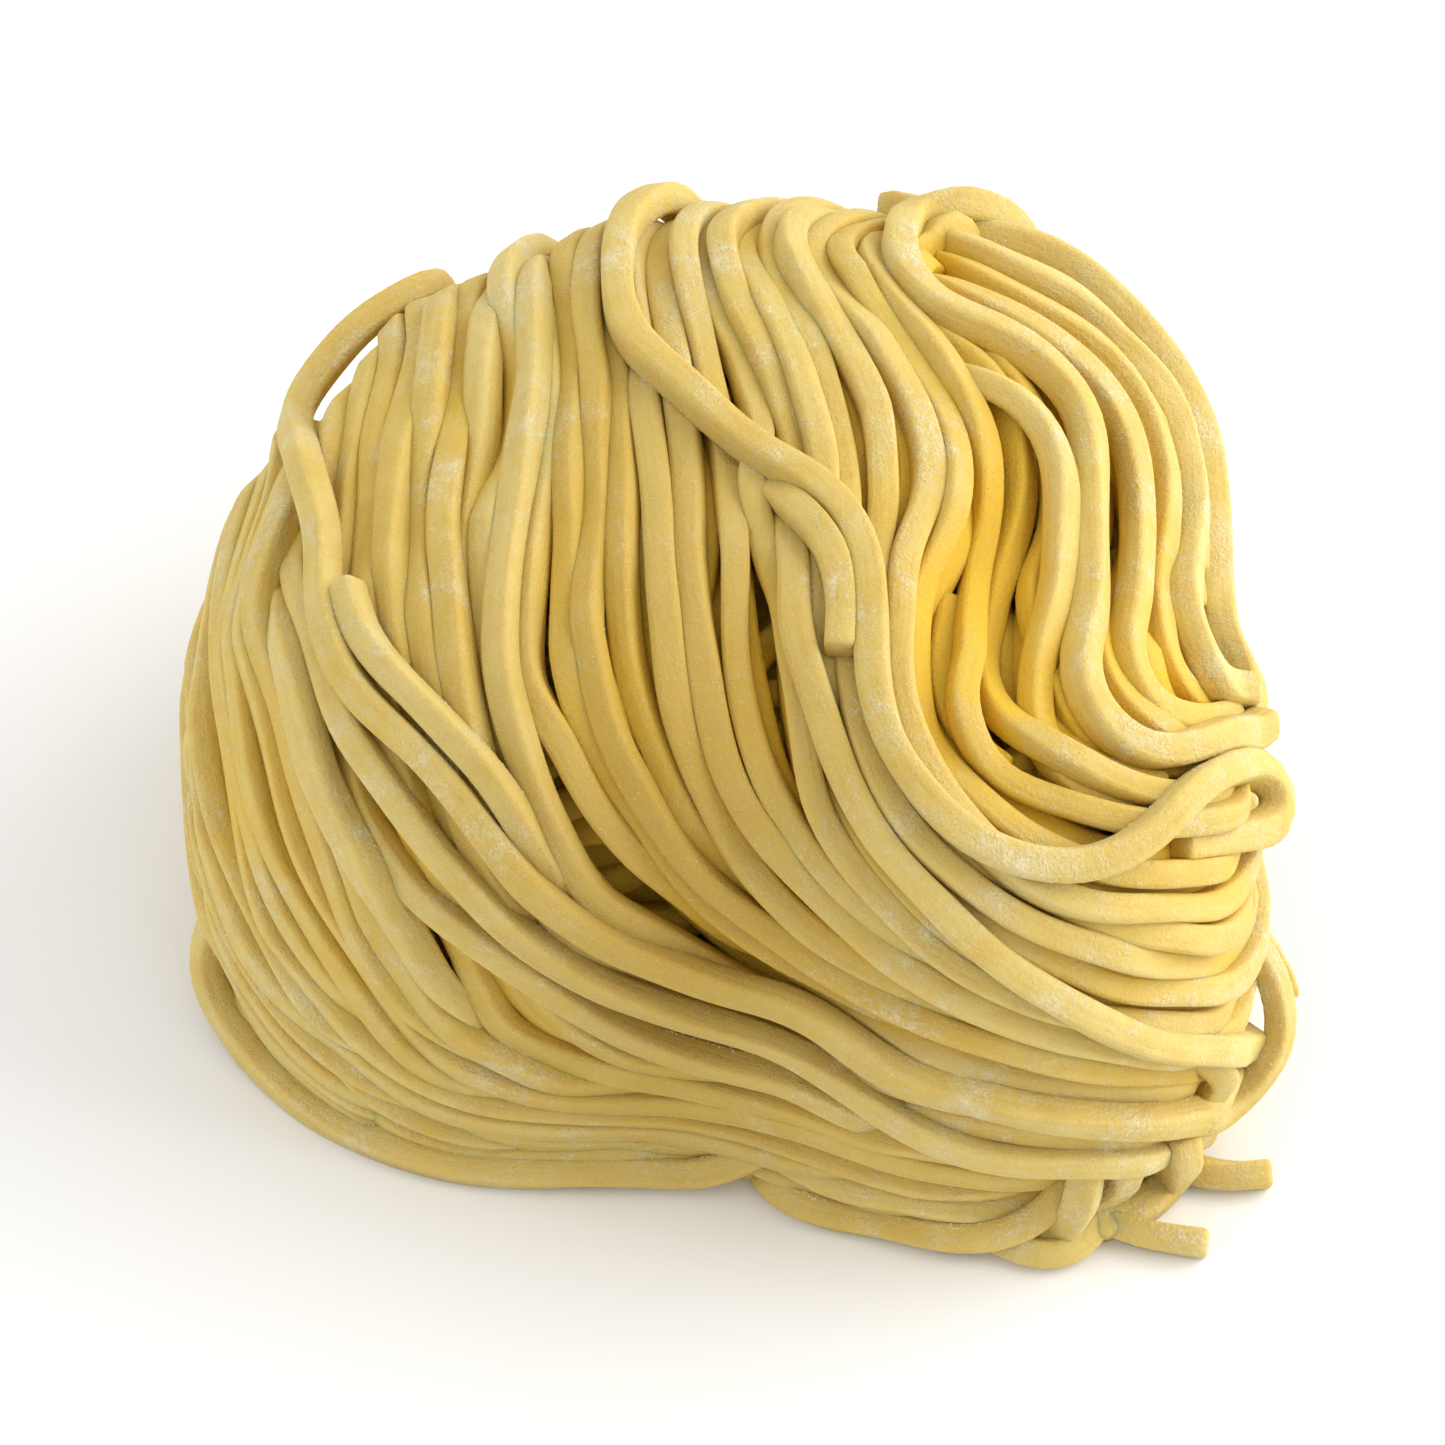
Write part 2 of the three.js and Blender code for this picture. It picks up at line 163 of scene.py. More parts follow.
# Loose strands as [across, up, depth below the usual bed] on the face plane. A point without a depth is
# as deep as the strand lies, which is on the bed unless it says so. One that comes over the crest says
# which place across the guides it climbs the back at.
ON_TOP = -2.2
HALF_TOP = -1.1
LOOSE_STRANDS = {
    "diagonal": {"comes_over": 4.7, "width": 2.85, "lies": ON_TOP, "route": [
        [-4, 45.5, -1], [-7, 44], [-8.7, 41], [-8.9, 37], [-8.6, 34.5], [-7, 31.5], [-4, 28.8], [0, 25],
        [3.5, 22], [7, 20], [9.5, 18], [11.2, 15], [12, 10], [12.3, 4], [13.5, -1], [16, -5],
        [19.5, -8.8], [24, -11.3], [29, -12], [33, -11], [36, -8.8], [38.5, -6], [41, -4.5, HALF_TOP],
        [45, -4.3, 0], [47.2, -5.8, 0], [46.8, -8, 0], [44, -9.5, 0], [38, -10, 1]]},
    "stuck_piece": {"width": 2.75, "lies": -2, "route": [
        [2.6, 20.3, 1.5], [5.6, 18, -1], [8, 16, -1.9], [9.6, 13.6], [10.3, 10], [10, 5.8]]},
    "shoulder_wide": {"comes_over": 9.5, "width": 2.9, "route": [
        [24.5, 42, 1.5], [21, 43, 1.1], [17, 42.3, 0.8], [15, 40.8, 0.2], [15, 38.5], [17, 35.5],
        [20, 33.8], [24, 32.3], [27.5, 30], [30.3, 26.5], [31, 22, 0.2], [30.9, 16, 0.4], [30.7, 9, 0.8],
        [29.6, 5, 1], [30.2, 1.5, 0.8], [32, -1, 0.4], [35, -2.7], [39, -2], [42, -0.8], [45, -0.2, 0.6],
        [46.5, 0.8, 3]]},
    "shoulder_beside": {"width": 2.6, "route": [
        [20, 29, 3], [22.5, 28.5, 0.8], [25, 27.3, 0.2], [27.4, 24.4, 0.2], [28.5, 20.8, 0.3],
        [28.5, 16.5, 0.8], [28, 10.4, 1.8], [26.4, 4, 3], [26.3, 0, 3], [28, -3.5, 2], [31, -5.6, 1.5],
        [35, -6.8, 1.5], [40, -7, 2]]},
    "shoulder_third": {"width": 2.7, "route": [
        [14, 39, 5], [17, 37.6, 3], [21, 35.8, 1.4], [25, 33.9, 0.8], [29, 31.2, 0.7], [32.6, 27.5, 0.6],
        [34.4, 23, 0.6], [35, 17, 0.8], [34.4, 11, 1.2], [33.6, 5.5, 1.6], [35.5, 1, 1.8], [39, -0.4, 2],
        [43, 0.4, 3]]},
    "shoulder_fourth": {"width": 2.5, "lies": 1.2, "route": [
        [15, 40.5, 5.5], [18.5, 39, 3], [22, 37.4, 1.6], [26, 35.2], [30, 32.8], [33.5, 29.4], [36, 25],
        [37, 20], [37.2, 14, 1.3], [36.7, 9, 1.6], [37, 5, 2], [39, 2, 2.5], [42, 1, 3.5]]},
    "shoulder_second": {"comes_over": 8.4, "width": 2.8, "lies": 0.2, "route": [
        [16, 42.5, 2], [21, 40.3, 0.8], [25, 38.3], [29, 36.5], [32, 33.8], [35, 30], [37.5, 26],
        [38.8, 21], [39, 15], [38.6, 10], [39.5, 7], [41, 3.5], [43.5, 1.6, 1], [46, 1.5, 4]]},
    "shoulder_first": {"comes_over": 7.4, "width": 3.0, "lies": 0.5, "route": [
        [13, 43.5, 2], [16.5, 42.6, 1.4], [20, 41.8, 1], [25, 41, 0.6], [30, 38.8, 0.6], [34, 35],
        [37.2, 31], [39, 27], [40.2, 23], [40.8, 17, 0.4], [41.4, 11, 0.2], [42.7, 6.5, 0],
        [44.4, 3.4, 0], [44.4, 1.4, 1], [43, -0.5, 4]]},
    "right_crossing": {"width": 2.8, "lies": HALF_TOP, "route": [
        [5.2, 19, 0.5], [5.5, 14, 0], [6, 8, -0.6], [7.5, 3, -0.8], [10.4, -5.1, -1], [13.5, -10.3],
        [17.5, -14.4], [23.3, -19.8], [30.8, -24.6], [36, -26.8], [41, -27.4, -0.6], [43.8, -27.4, 1.5],
        [44.5, -27, 5]]},
    "left_end": {"width": 2.6, "lies": ON_TOP, "route": [
        [-32, 11.3], [-31, 8.5], [-28.5, 5], [-25.5, 2.2], [-22.5, -0.8], [-19.8, -3.5], [-17.5, -6.5],
        [-15.5, -9.5, HALF_TOP], [-13.5, -12.5, 0], [-11, -16.5, 2]]},
    "left_upper": {"comes_over": 1.9, "lies": ON_TOP, "route": [
        [-23.3, 38.2, 0], [-26.5, 36.7, 0], [-29.5, 34, 0], [-32.5, 30.7, 0], [-34.6, 28, 0],
        [-35.5, 25.5, 0], [-35.4, 22.5], [-34.3, 19], [-33.4, 16], [-33, 10], [-32.3, 6], [-30.5, 2.5],
        [-26, -1.8], [-23, -4.8], [-20.5, -8], [-18.5, -10.5], [-16, -13.5], [-13, -15.8], [-10, -17.9],
        [-5, -20], [0, -22], [5, -23.3], [8.5, -25], [12, -27.7], [16, -30], [20, -31], [25, -32.5],
        [30, -33.3], [35, -33.7], [39.3, -33.6, -0.5]]},
    "left_lower": {"lies": ON_TOP, "route": [
        [-33.5, 24, 4], [-35, 17, 2.5], [-35.3, 11.5, 1], [-34, 7.5, 0], [-32.8, 4, HALF_TOP],
        [-31.8, 0.5, HALF_TOP], [-29.5, -3, HALF_TOP], [-26.5, -6.8, HALF_TOP], [-24, -10.3, HALF_TOP],
        [-21, -13.5], [-18, -16.5], [-14, -19.5], [-11, -21.3], [-7, -23], [-2, -24.8], [3, -26.2],
        [7, -27.7], [11, -30.2], [15, -33], [20, -35.5], [24, -36.6], [30, -36.3, HALF_TOP],
        [35, -35.6, 0], [40, -33, 3]]},
    "left_third": {"lies": HALF_TOP, "route": [
        [-31, 0, 3], [-29, -8, 1], [-23, -15, 0], [-17, -19.8], [-10, -24.8], [-5, -27.2], [1, -28.8],
        [7, -30], [12, -33, 0], [16, -35, 3], [20, -36, 6]]},
    "left_edge": {"lies": HALF_TOP, "route": [
        [-34.5, 26, 4], [-36.3, 19, 3], [-37.3, 13, 1.5], [-37, 8, 0], [-35.8, 4], [-34.8, 0],
        [-33.7, -4], [-31.7, -8], [-29.2, -12], [-27, -16, 0], [-23, -22, 0], [-19, -26, 3]]},
    "left_foot": {"route": [
        [-38, -6, 5], [-41.5, -13, 2], [-43.8, -19.5], [-44.3, -23], [-42.3, -26], [-38.5, -29.5],
        [-33, -33], [-28, -35], [-22, -37], [-15, -38.2], [-8, -38.4], [-2, -37.4], [4, -35.5, 2],
        [10, -33.5, 5]]},
    "front_foot": {"free": True, "route": [
        [2, -32, 7], [3, -35.5, 4], [5, -38.8, 1.5], [8.5, -41], [13, -41.8], [19, -43.3], [24, -43.2],
        [28, -40.5], [30.5, -36.5, 2], [33, -32, 5]]},
    "front_under": {"free": True, "route": [
        [8, -37, 6], [14, -40, 3], [20, -42, 2.6], [25, -43.6, 1], [28.5, -44], [31, -42.5, 1],
        [34, -38, 4]]},
    "front_inner": {"free": True, "route": [
        [-4, -33, 6], [1, -35, 3], [6, -37, 0.8], [10, -38.7], [15, -39.4], [20, -40.7], [25, -40.6, 0.5],
        [29, -38, 2], [31, -35, 5]]},
    "left_hook": {"free": True, "width": 2.95, "route": [
        [31, -34.5, 1], [30.7, -37, HALF_TOP], [29.8, -39.8, HALF_TOP], [28.4, -42.4], [26, -43.2, 2.5],
        [24.2, -41.5, 5], [23, -38, 7]]},
    "right_hook": {"free": True, "width": 2.9, "route": [
        [36.8, -33, 1.5], [37.2, -35.8], [37, -38], [35.5, -40.5], [33, -42], [30.5, -42.5, 1],
        [28, -41.5, 4]]},
    "middle_hook": {"free": True, "route": [
        [34, -34.5, 0.5], [34.3, -36.8], [33, -39.3], [31.3, -41, 1.5], [29, -42, 4]]},
    "side_loop": {"free": True, "width": 2.25, "route": [
        [41, -15, 5], [44.3, -17.6, 1], [46.4, -20.5], [47.4, -24], [46.9, -27.3], [44.9, -30.3],
        [42.4, -32.5], [39.5, -33.3], [35, -33.5, 4]]},
    "side_end": {"free": True, "width": 2.1, "route": [
        [42, -16, 4], [45.8, -19.3, 0.5], [47.8, -22], [49, -23.9]]},
    "side_fold": {"free": True, "route": [
        [38, -26.5, 3], [41.2, -28.3], [41.8, -30], [40.5, -32], [37, -32.5, 4]]},
    "upper_end": {"free": True, "width": 2.4, "route": [
        [33, -34, 6], [37.5, -36.5, 3], [40, -38], [43, -38.5], [46.5, -38.2]]},
    "lower_end": {"free": True, "width": 2.45, "route": [
        [24, -38, 8], [29, -41, 5.5], [33, -42.3, 3], [36, -43, 0.5], [39, -43.7], [40.6, -43.8]]},
    "eye_deep": {"width": 2.9, "route": [
        [24, 27, 6], [26.3, 20, 6], [27, 14, 6.5], [26, 8, 6.5], [25.6, 3.5, 6], [26.5, -0.5, 5],
        [28.8, -3.2, 3], [32, -5.3, 2], [36.5, -5.8, 2]]},
    "eye_end": {"route": [[15.5, 9.5, 7.5], [18.5, 8.6, 7], [20.6, 7.5, 7]]},
    "eye_small": {"width": 2.4, "route": [
        [18.6, 10, 6], [18, 5, 5], [18.4, 1.2, 4.5], [20.3, -2, 3.5], [23.4, -4.3, 3]]},
}

# ---- Strand mesh ----

RING_STEP = 1.4
BEAD_STEP = 1.3
CURVE_SAMPLES = 24


def unit(vectors):
    """Vectors divided by their lengths."""
    return vectors / np.maximum(np.linalg.norm(vectors, axis=-1, keepdims=True), 1e-12)


def plan_radius(angle):
    """Trigonometric curve through the plan radii: the sum of their first waves."""
    count = len(PLAN_RADII)
    waves = np.fft.rfft(PLAN_RADII) / count
    order = np.arange(1, count // 2)
    shape = 2 * (waves[1:-1] * np.exp(1j * np.multiply.outer(angle, order))).real.sum(-1)
    return waves[0].real + shape + (waves[-1] * np.exp(1j * count / 2 * angle)).real


def mound_radius(direction):
    """Superellipsoid: (flat share ** n + tall share ** n) ** (-1 / n) along each unit direction."""
    plan = plan_radius(np.arctan2(direction[..., 1], direction[..., 0]))
    height = np.where(direction[..., 2] > 0, HEIGHT_ABOVE_CENTRE, DEPTH_BELOW_CENTRE)
    flat = np.hypot(direction[..., 0], direction[..., 1]) / plan
    tall = np.abs(direction[..., 2]) / height
    return (flat**FULLNESS + tall**FULLNESS) ** (-1 / FULLNESS)


def outside_by(points):
    """Distance from the mound's centre less the mound's radius in that direction."""
    offset = points - MOUND_CENTRE
    return np.linalg.norm(offset, axis=-1) - mound_radius(unit(offset))


DROP_REACH = 60
DROP_STEP = 0.25


def drop(face_points, sink):
    """Face-plane points moved along its normal onto the strands' bed at their own depth. A point that
    misses the mound stays at its closest approach, or on the table if that is higher."""
    start = FACE_CENTRE + face_points[:, :1] * FACE_RIGHT + face_points[:, 1:2] * FACE_UP
    reach = np.arange(DROP_REACH, -DROP_REACH, -DROP_STEP)
    gap = outside_by(start[:, None] + reach[:, None] * FACE_NORMAL) + BED_DEPTH + sink[:, None]
    inside = gap < 0
    row = np.arange(len(start))
    first = np.maximum(inside.argmax(1), 1)
    share = gap[row, first - 1] / np.maximum(gap[row, first - 1] - gap[row, first], 1e-9)
    hit = reach[first - 1] - DROP_STEP * share
    along = np.where(inside.any(1), hit, reach[gap.argmin(1)])
    points = start + along[:, None] * FACE_NORMAL
    lift = np.maximum(BED_DEPTH - points[:, 2], 0) / FACE_NORMAL[2]
    return points + lift[:, None] * FACE_NORMAL


FRONT_DEPTH = 10.0


def hollow_depth(points):
    """Sum of smooth bells, exp(-across ** 2 - up ** 2), on the front of the mound."""
    offset = points - FACE_CENTRE
    across = (offset[:, None] @ FACE_RIGHT - HOLLOWS[:, 0]) / HOLLOWS[:, 2]
    up = (offset[:, None] @ FACE_UP - HOLLOWS[:, 1]) / HOLLOWS[:, 3]
    bells = (HOLLOWS[:, 4] * np.exp(-(across**2) - up**2)).sum(1)
    return np.where(offset @ FACE_NORMAL > -FRONT_DEPTH, bells, 0)


def cubic(t, scale, low, low_slope, high, high_slope):
    """Hermite cubic from low at t = 0 to high at t = 1, with the two end slopes times scale."""
    return (
        (2 * t**3 - 3 * t**2 + 1) * low
        + (t**3 - 2 * t**2 + t) * scale * low_slope
        + (3 * t**2 - 2 * t**3) * high
        + (t**3 - t**2) * scale * high_slope
    )


def smooth_curve(points, step=None, count=None):
    """Centripetal Catmull-Rom curve through the points, as points evenly spaced along it."""
    gaps = np.sqrt(np.linalg.norm(np.diff(points, axis=0), axis=1))
    knots = np.concatenate([[0], np.cumsum(np.maximum(gaps, 1e-6))])
    slope = np.diff(points, axis=0) / np.diff(knots)[:, None]
    tangent = np.empty_like(points)
    tangent[0], tangent[-1] = slope[0], slope[-1]
    chord = (points[2:] - points[:-2]) / (knots[2:] - knots[:-2])[:, None]
    tangent[1:-1] = slope[:-1] - chord + slope[1:]
    at = np.linspace(0, knots[-1], CURVE_SAMPLES * len(points))
    span = np.clip(np.searchsorted(knots, at, side="right") - 1, 0, len(points) - 2)
    width = (knots[span + 1] - knots[span])[:, None]
    t = (at - knots[span])[:, None] / width
    curve = cubic(t, width, points[span], tangent[span], points[span + 1], tangent[span + 1])
    length = np.concatenate([[0], np.cumsum(np.linalg.norm(np.diff(curve, axis=0), axis=1))])
    even = np.linspace(0, length[-1], count or max(int(round(length[-1] / step)), 3) + 1)
    return np.stack([np.interp(even, length, axis) for axis in curve.T], -1)


WAVE_LENGTHS = np.array([1.0, 0.57, 0.31])
WAVE_HEIGHTS = np.array([0.6, 0.3, 0.2])


def waver(rng, lengths, amplitude, wavelength):
    """Smooth noise along a strand: three sine waves of unlike wavelengths and random phases."""
    waves = wavelength * WAVE_LENGTHS * rng.uniform(0.8, 1.25, 3)
    share = WAVE_HEIGHTS * amplitude
    phase = rng.uniform(0, 2 * np.pi, 3)
    return (share * np.sin(2 * np.pi * lengths[:, None] / waves + phase)).sum(1)


# ---- Turns of the heap ----

# Every guide as evenly spaced stations, so that the guides are a net, with a spare row before and after.
NET = np.stack([smooth_curve(guide.astype(float), count=FACE_STATIONS) for guide in GUIDES])
NET = np.concatenate([2 * NET[:1] - NET[1:2], NET, 2 * NET[-1:] - NET[-2:-1]])


def on_net(place):
    """Face points of a turn: at each station, the cardinal spline across the guides at its place."""
    guide = np.clip(np.floor(place).astype(int), 0, LAST_GUIDE - 1)
    before, low, high, after = (NET[guide + row, np.arange(FACE_STATIONS)] for row in range(4))
    return cubic((place - guide)[:, None], GUIDE_TENSION, low, high - before, high, after - low)


def to_direction(angle, rise):
    """Unit direction at a compass angle and an elevation."""
    return np.stack([np.cos(angle) * np.cos(rise), np.sin(angle) * np.cos(rise), np.sin(rise)], -1)


def bearing(direction):
    """Compass angle and elevation of a direction."""
    rise = np.arctan2(direction[2], np.hypot(direction[0], direction[1]))
    return np.arctan2(direction[1], direction[0]), rise


def far_directions(fold, crest, place):
    """Far half of a turn: it dips to its level in the first part of the way, and is then a quarter of
    an ellipse in compass angle and elevation, level at the fold and upright at the crest."""
    fold_angle, fold_rise = bearing(fold)
    crest_angle, crest_rise = bearing(crest)
    level = np.radians(np.interp(place, np.arange(LAST_GUIDE + 1), FAR_LEVELS))
    t = np.arange(1, FAR_STATIONS + 1) / (FAR_STATIONS + 1)
    dip = 1 - np.clip(t / DIP_SHARE, 0, 1) ** 2 * (3 - 2 * np.clip(t / DIP_SHARE, 0, 1))
    climb = 1 - np.cos(t * np.pi / 2)
    angle = fold_angle + (crest_angle - fold_angle) * np.sin(t * np.pi / 2)
    return to_direction(angle, level + (fold_rise - level) * dip + (crest_rise - level) * climb)


def close_in(directions, place):
    """Past the first and the last guide, directions turned towards the foot's or the shoulder's eye by
    a share of the angle between, which grows slowly at first at the foot."""
    foot = FOOT_CLOSED * (max(-place, 0) / FOOT_TURNS) ** FOOT_EASE
    share = foot if place < 0 else max(place - LAST_GUIDE, 0) * SHOULDER_CLOSING
    eye = to_direction(*(FOOT_EYE if place < 0 else SHOULDER_EYE))
    angle = np.arccos(np.clip(directions @ eye, -1, 1))[:, None]
    return unit(directions * np.sin((1 - share) * angle) + eye * np.sin(share * angle))


def turn_places(counts, offset):
    """Places of all turns across the guides, with the foot and shoulder turns before and after. The
    heap's side falls away past the second guide, so places crowd towards the first."""
    between = np.concatenate([guide + np.arange(n) / n for guide, n in enumerate(counts)])
    between[: counts[0]] **= EDGE_EASE
    steps = 1 / np.repeat(counts, counts)
    foot = np.arange(-FOOT_TURNS, 0)
    shoulder = LAST_GUIDE + np.arange(SHOULDER_TURNS)
    return np.concatenate([foot, between + offset * steps, shoulder])


def stacked(index):
    """How many strands lie over a turn where the turns crowd: 0, 1 or 2 in a golden-ratio pattern."""
    return np.floor(3 * ((index * 0.618) % 1.0))


# Crowding starts at this share of the face, and this share of it is left at the next crest.
CROWD_DEPTH = 2.5
CROWD_END = 5.3
CROWD_FROM = 0.45
CROWD_LEFT = 0.3
WANDER = 0.35
WANDER_LENGTH = 0.9
CUT_SHARE = 0.5
LAST_CUT = 8
CUT_MARGIN = 4
TUCK_DEPTH = 3.5
TUCK_LENGTH = 16.0
BEND_PASSES = 18
UNEVEN_DEPTH = (1.7, 90)
SIDE_WAVER = (0.5, 50)
ROUNDING_PASSES = 18
FOOT_ROUNDING = 24
BACK_ROUNDING = 0.5


def rounded(ways, ease):
    """Directions along a route, drawn towards the mean of their neighbours as far as ease says."""
    for _ in range(ROUNDING_PASSES):
        mean = (ways[:-2] + ways[2:]) / 2
        ways[1:-1] += (mean - ways[1:-1]) * ease[1:-1, None]
    return unit(ways)


def winding(rng, counts, offset, sink):
    """A whole layer of turns as one route that is then cut into strands. Each turn is its face
    stations and the way round the far side to the next turn's crest. Cut ends are tucked in."""
    places = turn_places(counts, offset)
    faces = []
    for place in places:
        pitch = 1 / counts[int(np.clip(place, 0, LAST_GUIDE - 1))]
        stray = waver(rng, np.linspace(0, 1, FACE_STATIONS), WANDER * pitch, WANDER_LENGTH)
        face = drop(on_net(np.clip(np.clip(place, 0, LAST_GUIDE) + stray, 0, LAST_GUIDE)),
                    np.full(FACE_STATIONS, sink))
        faces.append(unit(face - MOUND_CENTRE))
    ways, depths, cuts = [], [], []
    for i, (place, face) in enumerate(zip(places, faces)):
        crest = faces[min(i + 1, len(places) - 1)][0]
        far = far_directions(face[-1], crest, place)
        ways.append(close_in(np.concatenate([face, far]), place))
        crowd = stacked(i) * CROWD_DEPTH * np.clip(CROWD_END - place, 0, 1)
        over_face = np.clip((np.arange(FACE_STATIONS) / FACE_STATIONS - CROWD_FROM) / CROWD_FROM, 0, 1)
        depths.append(crowd * np.concatenate([over_face, np.linspace(1, CROWD_LEFT, FAR_STATIONS)]))
        if 0 < place < LAST_CUT and rng.random() < CUT_SHARE or i == len(places) - 1:
            cut = rng.integers(CUT_MARGIN, FAR_STATIONS - CUT_MARGIN + 1)
            cuts.append(len(np.concatenate(ways)) - 1 - cut)
    ways, depths = np.concatenate(ways), np.concatenate(depths)
    beyond = np.maximum((1.0 - places) / FOOT_ROUNDING, (places - LAST_GUIDE + 0.5) / 2)[:, None]
    round_back = np.zeros(FACE_STATIONS + FAR_STATIONS)
    round_back[[0, *range(FACE_STATIONS - 1, FACE_STATIONS + FAR_STATIONS)]] = BACK_ROUNDING
    ways = rounded(ways, np.maximum(np.clip(beyond, 0, 1), round_back).ravel())
    strands = []
    for first, last in zip([0, *cuts[:-1]], cuts):
        bed = mound_radius(ways[first : last + 1]) - BED_DEPTH - sink - depths[first : last + 1]
        points = MOUND_CENTRE + ways[first : last + 1] * bed[:, None]
        strands.append(bedded(rng, smooth_curve(points, step=BEAD_STEP)))
    return strands


def bedded(rng, path):
    """A turn's path with uneven depth and sideways waver, sunk into the hollows, its ends tucked in."""
    for _ in range(BEND_PASSES):
        path[1:-1] = (path[:-2] + 2 * path[1:-1] + path[2:]) / 4
    length = BEAD_STEP * np.arange(len(path))
    outward = unit(path - MOUND_CENTRE)
    sideways = unit(np.cross(np.gradient(path, axis=0), outward))
    depth = hollow_depth(path) + end_tuck(length) + np.abs(waver(rng, length, *UNEVEN_DEPTH))
    return path - outward * depth[:, None] + sideways * waver(rng, length, *SIDE_WAVER)[:, None]


def end_tuck(length):
    """How much deeper a strand lies near its two ends."""
    from_end = np.minimum(length, length[-1] - length)
    return TUCK_DEPTH * np.clip(1 - from_end / TUCK_LENGTH, 0, 1) ** 2


BACK_STATIONS = 6
BACK_PASSES = 60
BACK_BLEND = 8
LOOSE_PASSES = 7


def loose(strand):
    """A loose strand: its route on the face plane, dropped point by point onto the heap. If it comes
    over the crest, it first climbs the back beside the turn at that place."""
    lies = strand.get("lies", 0)
    route = np.array([(*point, lies)[:3] for point in strand["route"]], dtype=float)
    points = drop(route[:, :2], route[:, 2])
    if "comes_over" in strand:
        place = strand["comes_over"]
        fold = drop(on_net(np.full(FACE_STATIONS, place))[-1:], np.zeros(1))[0] - MOUND_CENTRE
        ways = far_directions(fold, points[0] - MOUND_CENTRE, place)[-BACK_STATIONS:]
        rise = np.linspace(-TUCK_DEPTH, -HALF_TOP, BACK_STATIONS)
        back = MOUND_CENTRE + ways * (mound_radius(ways) - BED_DEPTH + rise)[:, None]
        points = np.concatenate([back, points])
    crest = points[BACK_STATIONS if "comes_over" in strand else 0]
    points = smooth_curve(points, step=1.0)
    before_crest = np.linalg.norm(points - crest, axis=1).argmin() - np.arange(len(points))[:, None]
    behind = np.clip(before_crest / (2 * BACK_BLEND) + 0.5, 0, 1) * ("comes_over" in strand)
    for turn in range(BACK_PASSES):
        ease = 1.0 if turn < LOOSE_PASSES else behind[1:-1]
        points[1:-1] += ease * (points[:-2] - 2 * points[1:-1] + points[2:]) / 4
    return smooth_curve(points, step=BEAD_STEP)


DEEP_ROUNDS = 60
DEEP_SINK = 5.4
DEEP_WIDEST = 0.8
DEEP_POINTS = 48
DEEP_RADIUS = 30
DEEP_WAVER = (1.5, 60)
DEEP_HOLLOW = 0.6


def deep_round(rng):
    """A strand of the heap's inside: a circle of directions about a random axis, at some distance
    along it, wavering in depth below the two layers of turns."""
    axis = unit(rng.normal(size=3))
    first = unit(np.cross(axis, unit(rng.normal(size=3))))
    second = np.cross(axis, first)
    height = rng.uniform(-DEEP_WIDEST, DEEP_WIDEST)
    t = np.linspace(0, 2 * np.pi, DEEP_POINTS + 1)[:-1, None]
    ways = axis * height + np.sqrt(1 - height**2) * (first * np.cos(t) + second * np.sin(t))
    depth = BED_DEPTH + DEEP_SINK + np.abs(waver(rng, t[:, 0] * DEEP_RADIUS, *DEEP_WAVER))
    bed = mound_radius(ways) - depth
    path = smooth_curve(MOUND_CENTRE + ways * bed[:, None], step=BEAD_STEP)
    return path - unit(path - MOUND_CENTRE) * hollow_depth(path)[:, None] * DEEP_HOLLOW


def gap_route(route, depth):
    """A gap's route on the face plane, laid at an even depth below the usual bed. It settles as a strand
    that hardly moves, and is then left out."""
    route = np.array(route, dtype=float)
    return smooth_curve(drop(route, np.full(len(route), depth)), step=BEAD_STEP)


# ---- Settling ----

SETTLE_ROUNDS = 60
PAIRS_EVERY = 5
CONTACT = 0.94
SAME_STRAND_GAP = 5
SIDE_ROOM = 1.0
HOLD = 0.015
LEAST_GIVE = 0.1
NEAR = 1.25 * STRAND_WIDTH
SHIFT_PASSES = 4
PRESS_BACK = 0.5


def neighbours(points, reach):
    """Pairs of points closer than reach: points are sorted into cubes of that size, and each is set
    against those in its own cube and in half of the cubes round it."""
    cube = np.floor((points - points.min(0)) / reach).astype(np.int64) + 1
    span = cube.max(0) + 2
    key = (cube[:, 0] * span[1] + cube[:, 1]) * span[2] + cube[:, 2]
    order = np.argsort(key, kind="stable")
    ordered = key[order]
    shifts = [(x * span[1] + y) * span[2] + z
              for x in (-1, 0, 1) for y in (-1, 0, 1) for z in (-1, 0, 1)]
    ones, others = [], []
    for shift in [s for s in shifts if s >= 0]:
        first = np.searchsorted(ordered, key + shift, side="left")
        many = np.searchsorted(ordered, key + shift, side="right") - first
        one = np.repeat(np.arange(len(points)), many)
        within = np.arange(many.sum()) - np.repeat(np.cumsum(many) - many, many)
        other = order[np.repeat(first, many) + within]
        keep = one < other if shift == 0 else np.ones(len(one), bool)
        ones.append(one[keep])
        others.append(other[keep])
    one, other = np.concatenate(ones), np.concatenate(others)
    near = ((points[one] - points[other]) ** 2).sum(1) < reach**2
    return one[near], other[near]


